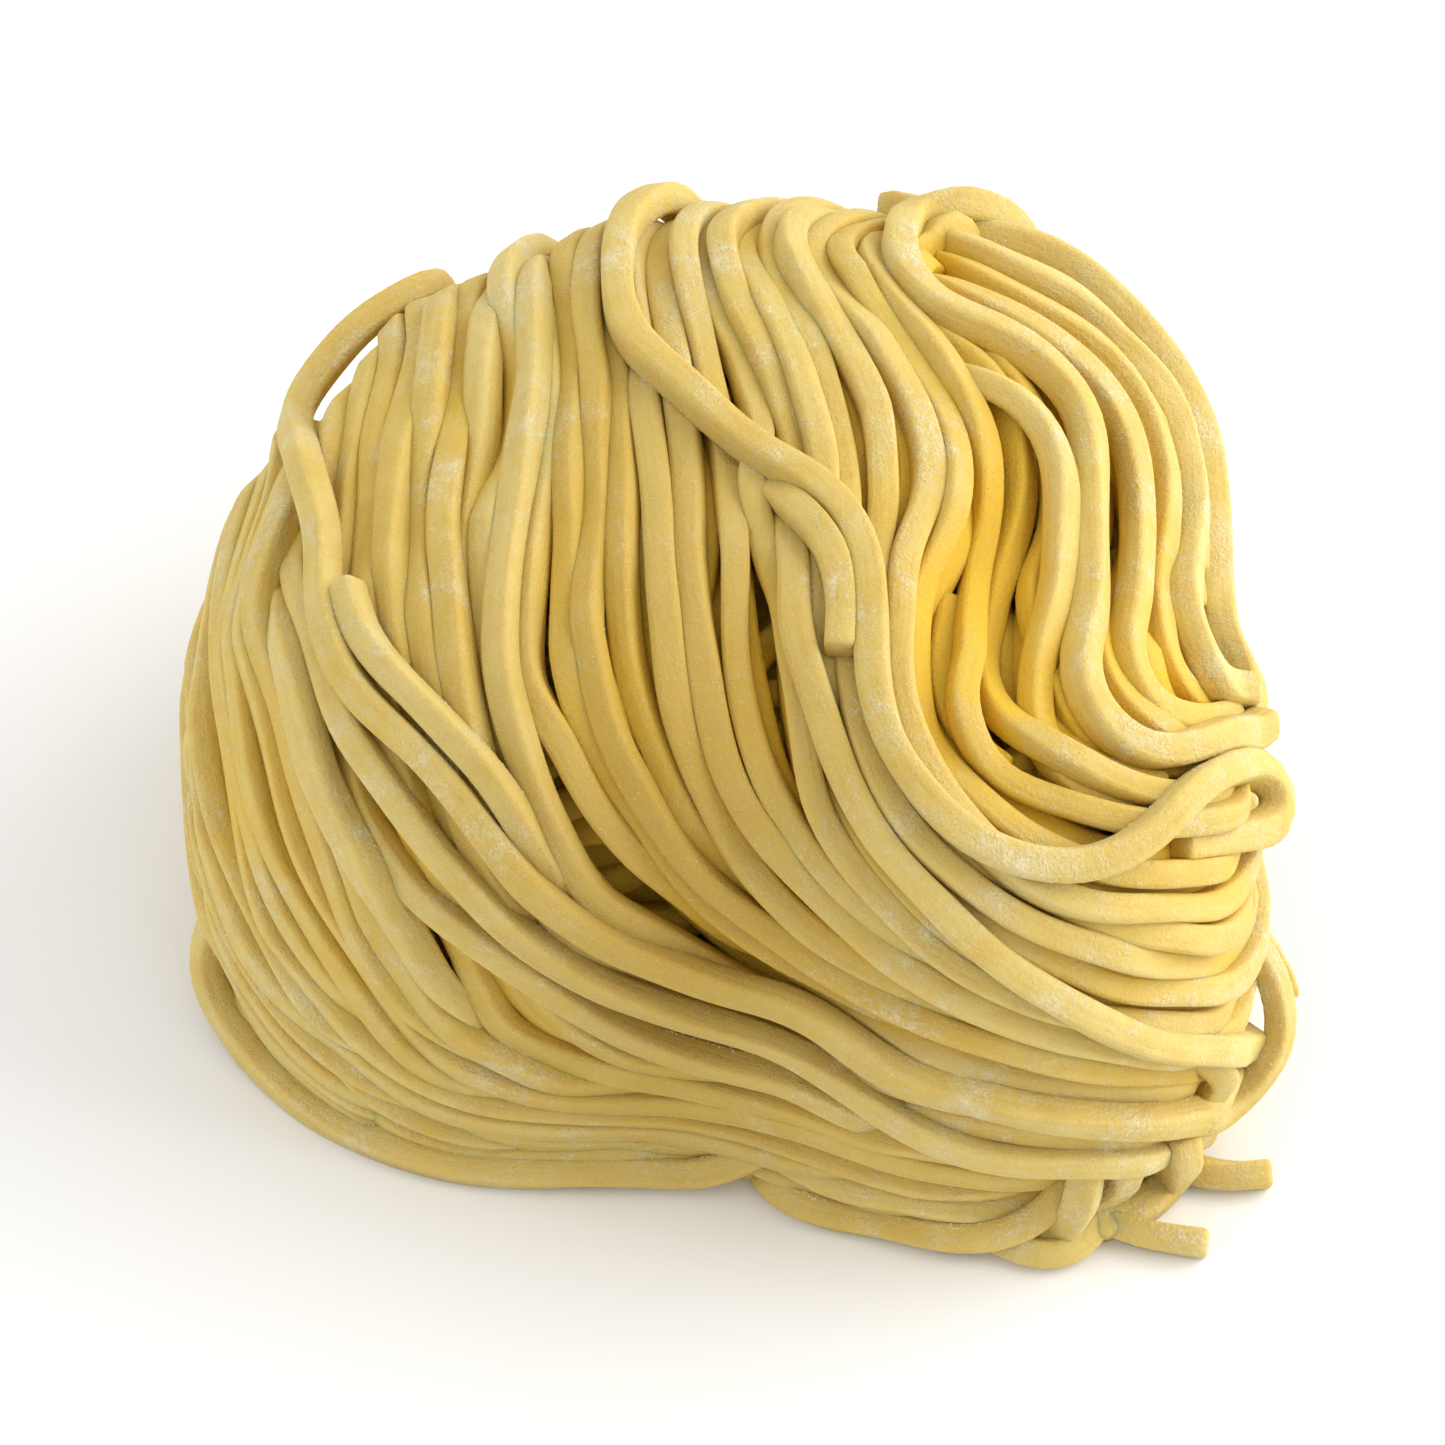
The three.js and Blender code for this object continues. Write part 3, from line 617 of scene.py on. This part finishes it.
def settle(paths, widths, give, proud):
    """Strands as chains of beads that push each other apart. The pushes are smoothed along each strand
    and fade back to its own route. give says how easily a strand moves, and proud how far it may stand
    above the usual bed."""
    counts = [len(path) for path in paths]
    start = np.concatenate(paths)
    strand = np.repeat(np.arange(len(paths)), counts)
    half = np.repeat(widths, counts) / 2
    soft = np.repeat(give, counts)
    limit = np.repeat(proud, counts)
    index = np.arange(len(start))
    back = np.where(np.roll(strand, 1) == strand, index - 1, index)
    ahead = np.where(np.roll(strand, -1) == strand, index + 1, index)
    low = np.array(nest_low) / MM + OUTLINE_MIDDLE + STRAND_WIDTH / 2
    high = np.array(nest_high) / MM + OUTLINE_MIDDLE - STRAND_WIDTH / 2 + SIDE_ROOM * FACE_RIGHT
    points = start.copy()
    for turn in range(SETTLE_ROUNDS):
        if turn % PAIRS_EVERY == 0:
            one, other = neighbours(points, NEAR)
            apart = (strand[one] != strand[other]) | (other - one > SAME_STRAND_GAP)
            one, other = one[apart], other[apart]
            ease = soft[one] / (soft[one] + soft[other])
        gap = points[one] - points[other]
        distance = np.maximum(np.linalg.norm(gap, axis=1), 1e-6)
        overlap = np.maximum(CONTACT * (half[one] + half[other]) - distance, 0)
        push = gap * (overlap / distance)[:, None]
        hits = np.bincount(one, overlap > 0, len(points)) + np.bincount(other, overlap > 0, len(points))
        move = np.stack([
            np.bincount(one, push[:, axis] * ease, len(points))
            - np.bincount(other, push[:, axis] * (1 - ease), len(points))
            for axis in range(3)
        ], -1)
        points += move / np.sqrt(np.maximum(hits, 1))[:, None]
        shift = points - start
        for _ in range(SHIFT_PASSES):
            shift = (shift[back] + 2 * shift + shift[ahead]) / 4
        points = start + shift * (1 - HOLD / np.maximum(soft, LEAST_GIVE))[:, None]
        outward = unit(points - MOUND_CENTRE)
        above = np.maximum(outside_by(points) + BED_DEPTH - limit, 0)
        points = np.clip(points - outward * above[:, None] * PRESS_BACK, low, high)
    return np.split(points, np.cumsum(counts)[:-1])


# ---- Meshes ----


def put_mesh(name, vertices, quads, triangles, material, smooth=True):
    """A piece from whole arrays of corners and faces, in metres about the nest's own origin."""
    mesh = bpy.data.meshes.new(name)
    mesh.vertices.add(len(vertices))
    mesh.vertices.foreach_set("co", (((vertices - OUTLINE_MIDDLE) * MM).astype(np.float32)).ravel())
    corners = np.concatenate([quads.ravel(), triangles.ravel()]).astype(np.int32)
    sizes = np.concatenate([np.full(len(quads), 4), np.full(len(triangles), 3)])
    mesh.loops.add(len(corners))
    mesh.loops.foreach_set("vertex_index", corners)
    mesh.polygons.add(len(sizes))
    mesh.polygons.foreach_set("loop_start", (np.cumsum(sizes) - sizes).astype(np.int32))
    mesh.polygons.foreach_set("use_smooth", np.full(len(sizes), smooth))
    mesh.update(calc_edges=True)
    mesh.validate()
    mesh.materials.append(material)
    piece = bpy.data.objects.new(name, mesh)
    bpy.context.scene.collection.objects.link(piece)
    return piece


def belongs(piece):
    """The piece is part of the nest: it rides on its body and stands for its solid."""
    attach(piece, "root")
    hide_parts("pasta_nest")


def put_values(piece, name, values):
    """One number or one vector for each corner of a piece."""
    kind, field = ("FLOAT", "value") if values.ndim == 1 else ("FLOAT_VECTOR", "vector")
    layer = piece.data.attributes.new(name, kind, "POINT")
    layer.data.foreach_set(field, values.astype(np.float32).ravel())


DEEPEST = 10.0

# The dough is darker in the middle of the face: across and up, and how far that reaches.
DARKENING_PLACE = (-4.0, -8.0)
DARKENING_REACH = (16.0, 34.0)


def put_depth(piece, corners):
    """How deep in the heap each corner lies, from 0 at the skin to 1, and how much the dough is darkened
    there: exp(-across ** 2 - up ** 2) about the darker middle of the face."""
    put_values(piece, "depth", np.clip(-outside_by(corners) / DEEPEST, 0, 1))
    offset = corners - FACE_CENTRE
    across = (offset @ FACE_RIGHT - DARKENING_PLACE[0]) / DARKENING_REACH[0]
    up = (offset @ FACE_UP - DARKENING_PLACE[1]) / DARKENING_REACH[1]
    put_values(piece, "darkening", np.exp(-(across**2) - up**2))


def tube_faces(rings, sides, first=0):
    """Faces of a closed tube: quads from each ring to the next, and a fan at both ends to the two middle
    corners that come after the rings."""
    turn = np.arange(sides)
    following = (turn + 1) % sides
    start = first + sides * np.arange(rings - 1)[:, None]
    quads = np.stack([start + turn, start + following, start + sides + following, start + sides + turn], -1)
    tip = first + sides * rings
    end = tip - sides
    fans = np.stack([np.full(sides, tip), first + following, first + turn], -1)
    last = np.stack([np.full(sides, tip + 1), end + turn, end + following], -1)
    return quads.reshape(-1, 4), np.concatenate([fans, last])


SECTION_SQUARENESS = 5.5
END_STEPS = np.array([0.0, 0.18, 0.55])
END_SCALES = np.array([0.74, 0.93, 1.0])
TURN_PASSES = 6
TWIST = (0.45, 120)
UNEVEN_WIDTH = (0.06, 30)
UNEVEN_HEIGHT = (0.06, 40)
LOWEST = 0.02
PLACE_REACH = 1000


def rings_along(path):
    """Ring centres along a strand, close together at its two ends, and each ring's scale there."""
    length = np.concatenate([[0], np.cumsum(np.linalg.norm(np.diff(path, axis=0), axis=1))])
    total = length[-1]
    middle = np.linspace(END_STEPS[-1], total - END_STEPS[-1], max(int(total / RING_STEP), 2) + 1)[1:-1]
    at = np.concatenate([END_STEPS, middle, total - END_STEPS[::-1]])
    scale = np.concatenate([END_SCALES, np.ones(len(middle)), END_SCALES[::-1]])
    return np.stack([np.interp(at, length, axis) for axis in path.T], -1), at, scale


def square_to(vectors, tangent):
    """Vectors less their share along the tangent, made unit."""
    return unit(vectors - (vectors * tangent).sum(1, keepdims=True) * tangent)


def strand_arrays(rng, path, width, sides):
    """Rounded-square section carried along a strand: each ring is a superellipse, its flat side kept
    towards the mound with a slow twist. Returns the rings and each corner's place in the strand."""
    centres, at, scale = rings_along(smooth_curve(path, step=RING_STEP / 2))
    tangent = unit(np.gradient(centres, at, axis=0))
    outward = centres - MOUND_CENTRE
    for _ in range(TURN_PASSES):
        outward = square_to(outward, tangent)
        outward[1:-1] = outward[:-2] + 2 * outward[1:-1] + outward[2:]
    outward = square_to(outward, tangent)
    sideways = np.cross(tangent, outward)
    twist = waver(rng, at, *TWIST)[:, None]
    across = sideways * np.cos(twist) + outward * np.sin(twist)
    over = outward * np.cos(twist) - sideways * np.sin(twist)
    angle = 2 * np.pi * (np.arange(sides) + 0.5) / sides
    power = 2 / SECTION_SQUARENESS
    flat, tall = (np.sign(side) * np.abs(side) ** power for side in (np.cos(angle), np.sin(angle)))
    wide, high = ((width / 2 * scale * (1 + waver(rng, at, *uneven)))[:, None, None]
                  for uneven in (UNEVEN_WIDTH, UNEVEN_HEIGHT))
    rings = centres[:, None] + across[:, None] * flat[:, None] * wide + over[:, None] * tall[:, None] * high
    rings[..., 2] = np.maximum(rings[..., 2], LOWEST)
    start = rng.uniform(0, PLACE_REACH)
    place = np.stack(np.broadcast_arrays(flat * width / 2, tall * width / 2, start + at[:, None]), -1)
    return rings, place


def strands_piece(name, rng, paths, widths, tones, material, sides):
    """Strands joined into one mesh, each closed by a fan at both ends. Each corner carries the strand's
    own tone, how deep in the heap it lies, and its place in the strand."""
    corners, places, quads, fans, tone, first = [], [], [], [], [], 0
    for path, width, shade in zip(paths, widths, tones):
        rings, place = strand_arrays(rng, path, width, sides)
        sheath, ends = tube_faces(len(rings), sides, first)
        quads.append(sheath)
        fans.append(ends)
        corners += [rings.reshape(-1, 3), rings[[0, -1]].mean(1)]
        places += [place.reshape(-1, 3), place[[0, -1]].mean(1)]
        tone.append(np.full(sides * len(rings) + 2, shade))
        first += sides * len(rings) + 2
    corners, quads = np.concatenate(corners), np.concatenate(quads)
    piece = put_mesh(name, corners, quads, np.concatenate(fans), material)
    put_values(piece, "tone", np.concatenate(tone))
    put_values(piece, "place", np.concatenate(places))
    put_depth(piece, corners)
    belongs(piece)
    return corners, quads


# ---- Semolina grains ----

GRAIN_COUNT = 20000
GRAIN_SIZES = (0.09, 0.22)
GRAIN_TRIES = 18
PATCH_SIZES = (5.3, 7.9)
GRAIN_SKIN = 1.6
GRAIN_LEAN = 0.2
GRAIN_LOWEST = 2
PATCH_RISE = 0.5
PATCH_BASE = 0.1
BARE_SHARE = 0.015
GRAIN_ARMS = (1.0, 0.8, 0.6)


def grains_piece(rng, surfaces, material):
    """Semolina grains lying on the strands: squashed octahedra at random points of the faces that look
    outwards and are near the skin, thicker in some patches than in others."""
    spots, ups = [], []
    for corners, quads in surfaces:
        pick = quads[rng.integers(0, len(quads), GRAIN_COUNT * GRAIN_TRIES // len(surfaces))]
        one, two, three, four = (corners[pick[:, i]] for i in range(4))
        u, v = rng.random((2, len(pick), 1))
        spot = (one * (1 - u) + two * u) * (1 - v) + (four * (1 - u) + three * u) * v
        up = unit(np.cross(two - one, four - one))
        ways = unit(spot - MOUND_CENTRE)
        patch = np.sin(spot / PATCH_SIZES[0] + 2 * np.sin(spot[:, [1, 2, 0]] / PATCH_SIZES[1])).sum(1)
        keep = (outside_by(spot) > -GRAIN_SKIN) & ((up * ways).sum(1) > GRAIN_LEAN)
        keep &= spot[:, 2] > GRAIN_LOWEST
        keep &= rng.random(len(pick)) < np.clip(PATCH_BASE + PATCH_RISE * patch, BARE_SHARE, 1)
        spots.append(spot[keep])
        ups.append(up[keep])
    spots, ups = np.concatenate(spots), np.concatenate(ups)
    chosen = rng.permutation(len(spots))[:GRAIN_COUNT]
    spots, ups = spots[chosen], ups[chosen]
    size = rng.uniform(*GRAIN_SIZES, (len(spots), 1)) * rng.uniform(0.5, 1, (len(spots), 1))
    side = unit(np.cross(ups, unit(rng.normal(size=ups.shape))))
    arms = np.stack([side, np.cross(ups, side), ups], 1) * np.array(GRAIN_ARMS)[:, None]
    arms = np.concatenate([arms, -arms], 1)
    arms *= rng.uniform(0.7, 1.2, (len(spots), 6, 1)) * size[:, None]
    corners = (spots[:, None] + ups[:, None] * size[:, None] * 0.2 + arms).reshape(-1, 3)
    faces = np.array([[0, 1, 2], [1, 3, 2], [3, 4, 2], [4, 0, 2],
                      [1, 0, 5], [3, 1, 5], [4, 3, 5], [0, 4, 5]])
    triangles = (6 * np.arange(len(spots))[:, None, None] + faces).reshape(-1, 3)
    piece = put_mesh("semolina_grains", corners, np.empty((0, 4), int), triangles, material, smooth=False)
    belongs(piece)


# ---- Core ----

CORE_DEPTH = 8.5
CORE_RINGS = 60
CORE_STEPS = 120
CORE_LIFT = 0.5
CORE_TONE = 0.4


def core_piece(material):
    """The heap's core: a grid in compass angle and elevation, at an even depth below the skin and its
    hollows, cut flat just above the table and closed at both poles."""
    rise = np.linspace(-np.pi / 2, np.pi / 2, CORE_RINGS + 1)[1:-1, None]
    angle = np.linspace(0, 2 * np.pi, CORE_STEPS, endpoint=False)[None]
    direction = to_direction(*np.broadcast_arrays(angle, rise)).reshape(-1, 3)
    direction = np.concatenate([direction, -UP[None], UP[None]])
    skin = mound_radius(direction) - CORE_DEPTH
    skin -= hollow_depth(MOUND_CENTRE + direction * skin[:, None])
    down = -direction[:, 2]
    table = np.where(down > 0, (MOUND_CENTRE[2] - CORE_LIFT) / np.maximum(down, 1e-9), np.inf)
    corners = MOUND_CENTRE + direction * np.minimum(skin, table)[:, None]
    piece = put_mesh("nest_core", corners, *tube_faces(CORE_RINGS - 1, CORE_STEPS), material)
    put_values(piece, "tone", np.full(len(corners), CORE_TONE))
    put_values(piece, "place", corners)
    put_depth(piece, corners)
    belongs(piece)


# ---- Materials ----

# Colours in linear light.
OCHRE = (0.560, 0.378, 0.062, 1)
PALE_DOUGH = (0.670, 0.545, 0.210, 1)
DARKER_DOUGH = (0.450, 0.290, 0.045, 1)
# Painted shade: the darker, warmer orange that shaded crevices deep in the heap take on.
CREVICE_SHADE = (0.670, 0.420, 0.024, 1)
FLOUR = (0.780, 0.720, 0.500, 1)
SEMOLINA = (0.770, 0.650, 0.340, 1)
TABLE = (0.86, 0.86, 0.86, 1)
TABLE_MOTTLE = (0.8, 0.8, 0.8, 1)


def feed(tree, sockets, values):
    """Inputs fed in turn: a value that is a socket is linked, and anything else is set."""
    for socket, value in zip(sockets, values):
        if isinstance(value, bpy.types.NodeSocket):
            tree.links.new(value, socket)
        else:
            socket.default_value = value


def add_node(tree, kind, settings=None, **inputs):
    """A shader node with its settings, and its inputs fed by name."""
    made = tree.nodes.new("ShaderNode" + kind)
    for name, value in (settings or {}).items():
        setattr(made, name, value)
    feed(tree, [made.inputs[name.replace("_", " ")] for name in inputs], inputs.values())
    return made


def maths(tree, operation, *values):
    """One step of arithmetic on sockets or numbers."""
    made = add_node(tree, "Math", {"operation": operation})
    feed(tree, made.inputs, values)
    return made.outputs[0]


def weighted(tree, *terms):
    """Sum of sockets, each times its weight: (socket, weight) pairs, added in turn."""
    parts = [maths(tree, "MULTIPLY", socket, weight) for socket, weight in terms]
    total = parts[0]
    for part in parts[1:]:
        total = maths(tree, "ADD", total, part)
    return total


def blend(tree, share, first, second):
    """Two colours mixed by a share."""
    made = add_node(tree, "Mix", {"data_type": "RGBA"})
    feed(tree, [made.inputs[i] for i in (0, 6, 7)], (share, first, second))
    return made.outputs[2]


def ramp(tree, value, low, high):
    """A value spread smoothly from 0 at low to 1 at high."""
    made = add_node(tree, "MapRange", {"interpolation_type": "SMOOTHSTEP"},
                    Value=value, From_Min=low, From_Max=high)
    return made.outputs["Result"]


def noise(tree, vector, scale, detail=2.0, roughness=0.5):
    """Noise with features of about one over scale."""
    made = add_node(tree, "TexNoise", Vector=vector, Scale=scale, Detail=detail, Roughness=roughness)
    return made.outputs[0]


def node_group(name, inputs, outputs):
    """An empty group with named inputs and outputs, and its two end nodes."""
    group = bpy.data.node_groups.new(name, "ShaderNodeTree")
    for side, sockets in (("INPUT", inputs), ("OUTPUT", outputs)):
        for label, kind in sockets.items():
            group.interface.new_socket(label, in_out=side, socket_type="NodeSocket" + kind)
    return group, group.nodes.new("NodeGroupInput"), group.nodes.new("NodeGroupOutput")


FLOUR_EDGE = 0.93
FLOUR_FULL = 1.32
SPECK_EDGE = 0.60
SPECK_FULL = 0.70


def flour_group():
    """Flour dust: soft patches broken up by a fine grain. Position is in millimetres."""
    group, given, made = node_group(
        "flour_dust",
        {"Position": "Vector", "Cover": "Float"},
        {"Mask": "Float", "Height": "Float"},
    )
    position, cover = given.outputs["Position"], given.outputs["Cover"]
    patches = noise(group, position, 0.16, 3.0, 0.6)
    clumps = noise(group, position, 0.9, 3.0, 0.65)
    grain = noise(group, position, 3.4, 2.0, 0.6)
    broken = weighted(group, (patches, 0.9), (clumps, 0.5), (grain, 0.55))
    patch = ramp(group, maths(group, "ADD", broken, cover), FLOUR_EDGE, FLOUR_FULL)
    specks = ramp(group, noise(group, position, 5.0, 1.0), SPECK_EDGE, SPECK_FULL)
    mask = maths(group, "MAXIMUM", patch, maths(group, "MULTIPLY", specks, 0.5))
    group.links.new(mask, made.inputs["Mask"])
    group.links.new(maths(group, "MULTIPLY", mask, grain), made.inputs["Height"])
    return group


STREAK_STRETCH = (1.0, 1.0, 0.07)
DARKENING_SHARE = 0.85
# Depth share at which the painted crevice shade is full.
CREVICE_SHADE_FULL = 0.36


def dough_group():
    """Egg dough: each strand has its own tone between ochre and pale, mottled softly and streaked
    along the strand. It is darker in the middle of the face, and deep in the heap it is blended
    towards a darker orange, painted shade for the crevices. Position and Place are in millimetres."""
    group, given, made = node_group(
        "egg_dough",
        {"Position": "Vector", "Place": "Vector", "Tone": "Float", "Depth": "Float", "Damp": "Float"},
        {"Colour": "Color", "Height": "Float"},
    )
    position = given.outputs["Position"]
    stretched = add_node(group, "VectorMath", {"operation": "MULTIPLY"})
    feed(group, stretched.inputs, (given.outputs["Place"], STREAK_STRETCH))
    streaks = noise(group, stretched.outputs[0], 1.5, 2.0)
    mottle = noise(group, position, 0.28, 2.0)
    speckle = noise(group, position, 2.2, 3.0, 0.65)
    tone = given.outputs["Tone"]
    lightness = weighted(group, (tone, 0.4), (streaks, 0.5), (mottle, 0.6), (speckle, 0.35))
    colour = blend(group, ramp(group, lightness, 0.5, 1.5), OCHRE, PALE_DOUGH)
    # Darker towards the middle of the face.
    colour = blend(group, maths(group, "MULTIPLY", given.outputs["Damp"], DARKENING_SHARE), colour, DARKER_DOUGH)
    # Painted shade: strands deep in the heap are blended towards the crevice shade colour.
    colour = blend(group, ramp(group, given.outputs["Depth"], 0.0, CREVICE_SHADE_FULL), colour, CREVICE_SHADE)
    group.links.new(colour, made.inputs["Colour"])
    group.links.new(weighted(group, (streaks, 0.5), (speckle, 0.6)), made.inputs["Height"])
    return group


def new_material(name):
    """A material, its node tree and its shader."""
    material = bpy.data.materials.new(name)
    material.use_nodes = True
    return material, material.node_tree, material.node_tree.nodes["Principled BSDF"]


def attribute(tree, name, output):
    """A value that the mesh carries at its corners."""
    return add_node(tree, "Attribute", {"attribute_name": name}).outputs[output]


def in_millimetres(tree):
    """Object coordinates in millimetres."""
    place = tree.nodes.new("ShaderNodeTexCoord").outputs["Object"]
    scaled = add_node(tree, "VectorMath", {"operation": "SCALE"}, Scale=1 / MM)
    tree.links.new(place, scaled.inputs[0])
    return scaled.outputs[0]


DUST_SHARE = 0.7
BUMP_HEIGHT = 0.3 * MM
DOUGH_SHADER = {
    "Roughness": 0.68,
    "Specular IOR Level": 0.3,
    "Subsurface Weight": 0.4,
    "Subsurface Radius": (1.0, 0.55, 0.12),
    "Subsurface Scale": 1.3 * MM,
}


def dough_material(name, flour, dough, cover):
    """Matte fresh dough with flour dust on it."""
    material, tree, shader = new_material(name)
    position = in_millimetres(tree)
    depth, darkening = attribute(tree, "depth", "Fac"), attribute(tree, "darkening", "Fac")
    body = add_node(tree, "Group", {"node_tree": dough}, Position=position,
                    Place=attribute(tree, "place", "Vector"), Tone=attribute(tree, "tone", "Fac"),
                    Depth=depth, Damp=darkening)
    bare = weighted(tree, (depth, -0.5), (darkening, -0.15))
    dust = add_node(tree, "Group", {"node_tree": flour}, Position=position,
                    Cover=maths(tree, "ADD", bare, cover))
    share = maths(tree, "MULTIPLY", dust.outputs["Mask"], DUST_SHARE)
    tree.links.new(blend(tree, share, body.outputs["Colour"], FLOUR), shader.inputs["Base Color"])
    height = maths(tree, "ADD", body.outputs["Height"], dust.outputs["Height"])
    bump = add_node(tree, "Bump", Height=height, Strength=0.9, Distance=BUMP_HEIGHT)
    tree.links.new(bump.outputs["Normal"], shader.inputs["Normal"])
    for label, value in DOUGH_SHADER.items():
        shader.inputs[label].default_value = value
    return material


def grain_material():
    """Pale dry semolina."""
    material, tree, shader = new_material("semolina")
    fine = noise(tree, in_millimetres(tree), 5.0)
    tree.links.new(blend(tree, fine, SEMOLINA, FLOUR), shader.inputs["Base Color"])
    shader.inputs["Roughness"].default_value = 0.8
    return material


# ---- Floor, light and camera ----

FRAME_WIDTH = 0.1228
CAMERA_DISTANCE = 1.5
SENSOR_WIDTH = 36.0
FLOOR_REACH = 3.0
DAYLIGHT = 0.94
LAMPS = {
    "key": ((0.9, 0.15, 0.5), 1.2, 14.5, (1, 0.99, 0.96)),
    "fill": ((-0.75, -0.1, 0.45), 0.8, 1.6, (1, 1, 1)),
}
AIM = (0, 0, 0.02)


def floor_piece():
    """A wide pale table."""
    corners = [[-FLOOR_REACH, -FLOOR_REACH, 0], [FLOOR_REACH, -FLOOR_REACH, 0],
               [FLOOR_REACH, FLOOR_REACH, 0], [-FLOOR_REACH, FLOOR_REACH, 0]]
    mesh = bpy.data.meshes.new("floor")
    mesh.from_pydata(corners, [], [[0, 1, 2, 3]])
    material, tree, shader = new_material("pale_floor")
    faint = noise(tree, in_millimetres(tree), 0.4)
    colour = blend(tree, maths(tree, "MULTIPLY", faint, 0.04), TABLE, TABLE_MOTTLE)
    tree.links.new(colour, shader.inputs["Base Color"])
    shader.inputs["Roughness"].default_value = 0.9
    mesh.materials.append(material)
    floor = bpy.data.objects.new("floor", mesh)
    bpy.context.scene.collection.objects.link(floor)


def area_light(name, place, size, power, colour):
    """A soft square lamp aimed at the nest."""
    lamp = bpy.data.lights.new(name, "AREA")
    lamp.size = size
    lamp.energy = power
    lamp.color = colour
    holder = bpy.data.objects.new(name, lamp)
    holder.location = place
    holder.rotation_euler = (Vector(AIM) - Vector(place)).to_track_quat("-Z", "Y").to_euler()
    bpy.context.scene.collection.objects.link(holder)


def studio():
    """Even pale surroundings, the lamps, of which the key is large and at the upper right, and the
    camera."""
    world = bpy.data.worlds.new("studio")
    bpy.context.scene.world = world
    world.use_nodes = True
    world.node_tree.nodes["Background"].inputs["Color"].default_value = (1, 1, 1, 1)
    world.node_tree.nodes["Background"].inputs["Strength"].default_value = DAYLIGHT
    for name, lamp in LAMPS.items():
        area_light(name, *lamp)
    bpy.context.scene.view_settings.view_transform = "Standard"
    camera = bpy.data.cameras.new("camera")
    camera.sensor_width = SENSOR_WIDTH
    camera.lens = SENSOR_WIDTH * CAMERA_DISTANCE / FRAME_WIDTH
    holder = bpy.data.objects.new("camera", camera)
    centre = (FACE_CENTRE - OUTLINE_MIDDLE) * MM
    holder.location = centre + FACE_NORMAL * CAMERA_DISTANCE
    holder.rotation_euler = (np.pi / 2 - FACE_LEAN, 0, 0)
    bpy.context.scene.collection.objects.link(holder)
    bpy.context.scene.camera = holder


# ---- The nest ----

# For outer turns, inner turns, loose strands, deep strands and gaps: how easily they move as they
# settle, and how far they may stand above the usual bed.
GIVE = [0.6, 1.0, 0.25, 2.0, 0.005]
PROUD = [0.4, -1.0, 2.6, -3.6, 50]
FREE = 50.0
SEED = 7
WIDTH_SPREAD = (0.88, 1.08)
LOOSE_TONES = (0.5, 0.4)
SHELTERED_COVER = -0.15
FINE_SIDES = 12
PLAIN_SIDES = 8


def nest():
    """Lays out all strands, settles them together, and makes the pieces."""
    rng = np.random.default_rng(SEED)
    outer = winding(rng, OUTER_TURNS, 0.0, 0.0)
    inner = winding(rng, INNER_TURNS, 0.5, INNER_SINK)
    singles = [loose(strand) for strand in LOOSE_STRANDS.values()]
    deep = [deep_round(rng) for _ in range(DEEP_ROUNDS)]
    gaps = [gap_route(route, depth) for _, route in GAPS for depth in GAP_DEPTHS]
    paths = outer + inner + singles + deep + gaps
    sizes = [len(outer), len(inner), len(singles), len(deep), len(gaps)]
    widths = STRAND_WIDTH * rng.uniform(*WIDTH_SPREAD, len(paths))
    widths[-len(gaps):] = np.repeat([width for width, _ in GAPS], len(GAP_DEPTHS))
    first_loose, first_deep = sum(sizes[:2]), sum(sizes[:3])
    own = [strand.get("width") for strand in LOOSE_STRANDS.values()]
    widths[first_loose:first_deep] = [w or drawn for w, drawn in zip(own, widths[first_loose:first_deep])]
    proud = np.repeat(PROUD, sizes)
    proud[first_loose:first_deep] += [FREE * strand.get("free", False) for strand in LOOSE_STRANDS.values()]
    paths = settle(paths, widths, np.repeat(GIVE, sizes), proud)
    paths, widths = paths[: -len(gaps)], widths[: -len(gaps)]
    flour, dough = flour_group(), dough_group()
    fresh = dough_material("fresh_dough", flour, dough, 0.0)
    sheltered = dough_material("sheltered_dough", flour, dough, SHELTERED_COVER)
    tones = rng.uniform(0, 1, len(paths))
    tones[first_loose:first_deep] = LOOSE_TONES[0] + LOOSE_TONES[1] * tones[first_loose:first_deep]
    surfaces = []
    reached = np.cumsum([len(path) for path in outer])
    middle = int(np.searchsorted(reached, reached[-1] / 2)) + 1
    bounds = [0, middle, sizes[0], first_loose, first_deep]
    names = ["outer_turns_left", "outer_turns_right", "inner_turns", "loose_strands"]
    for name, low, high in zip(names, bounds, bounds[1:]):
        sides = PLAIN_SIDES if name == "inner_turns" else FINE_SIDES
        members = slice(low, high)
        surfaces.append(strands_piece(name, rng, paths[members], widths[members], tones[members],
                                      fresh, sides))
    strands_piece("deep_strands", rng, paths[first_deep:], widths[first_deep:], tones[first_deep:],
                  sheltered, PLAIN_SIDES)
    grains_piece(rng, [surfaces[i] for i in (0, 1, 3)], grain_material())
    core_piece(sheltered)


nest()
floor_piece()
studio()
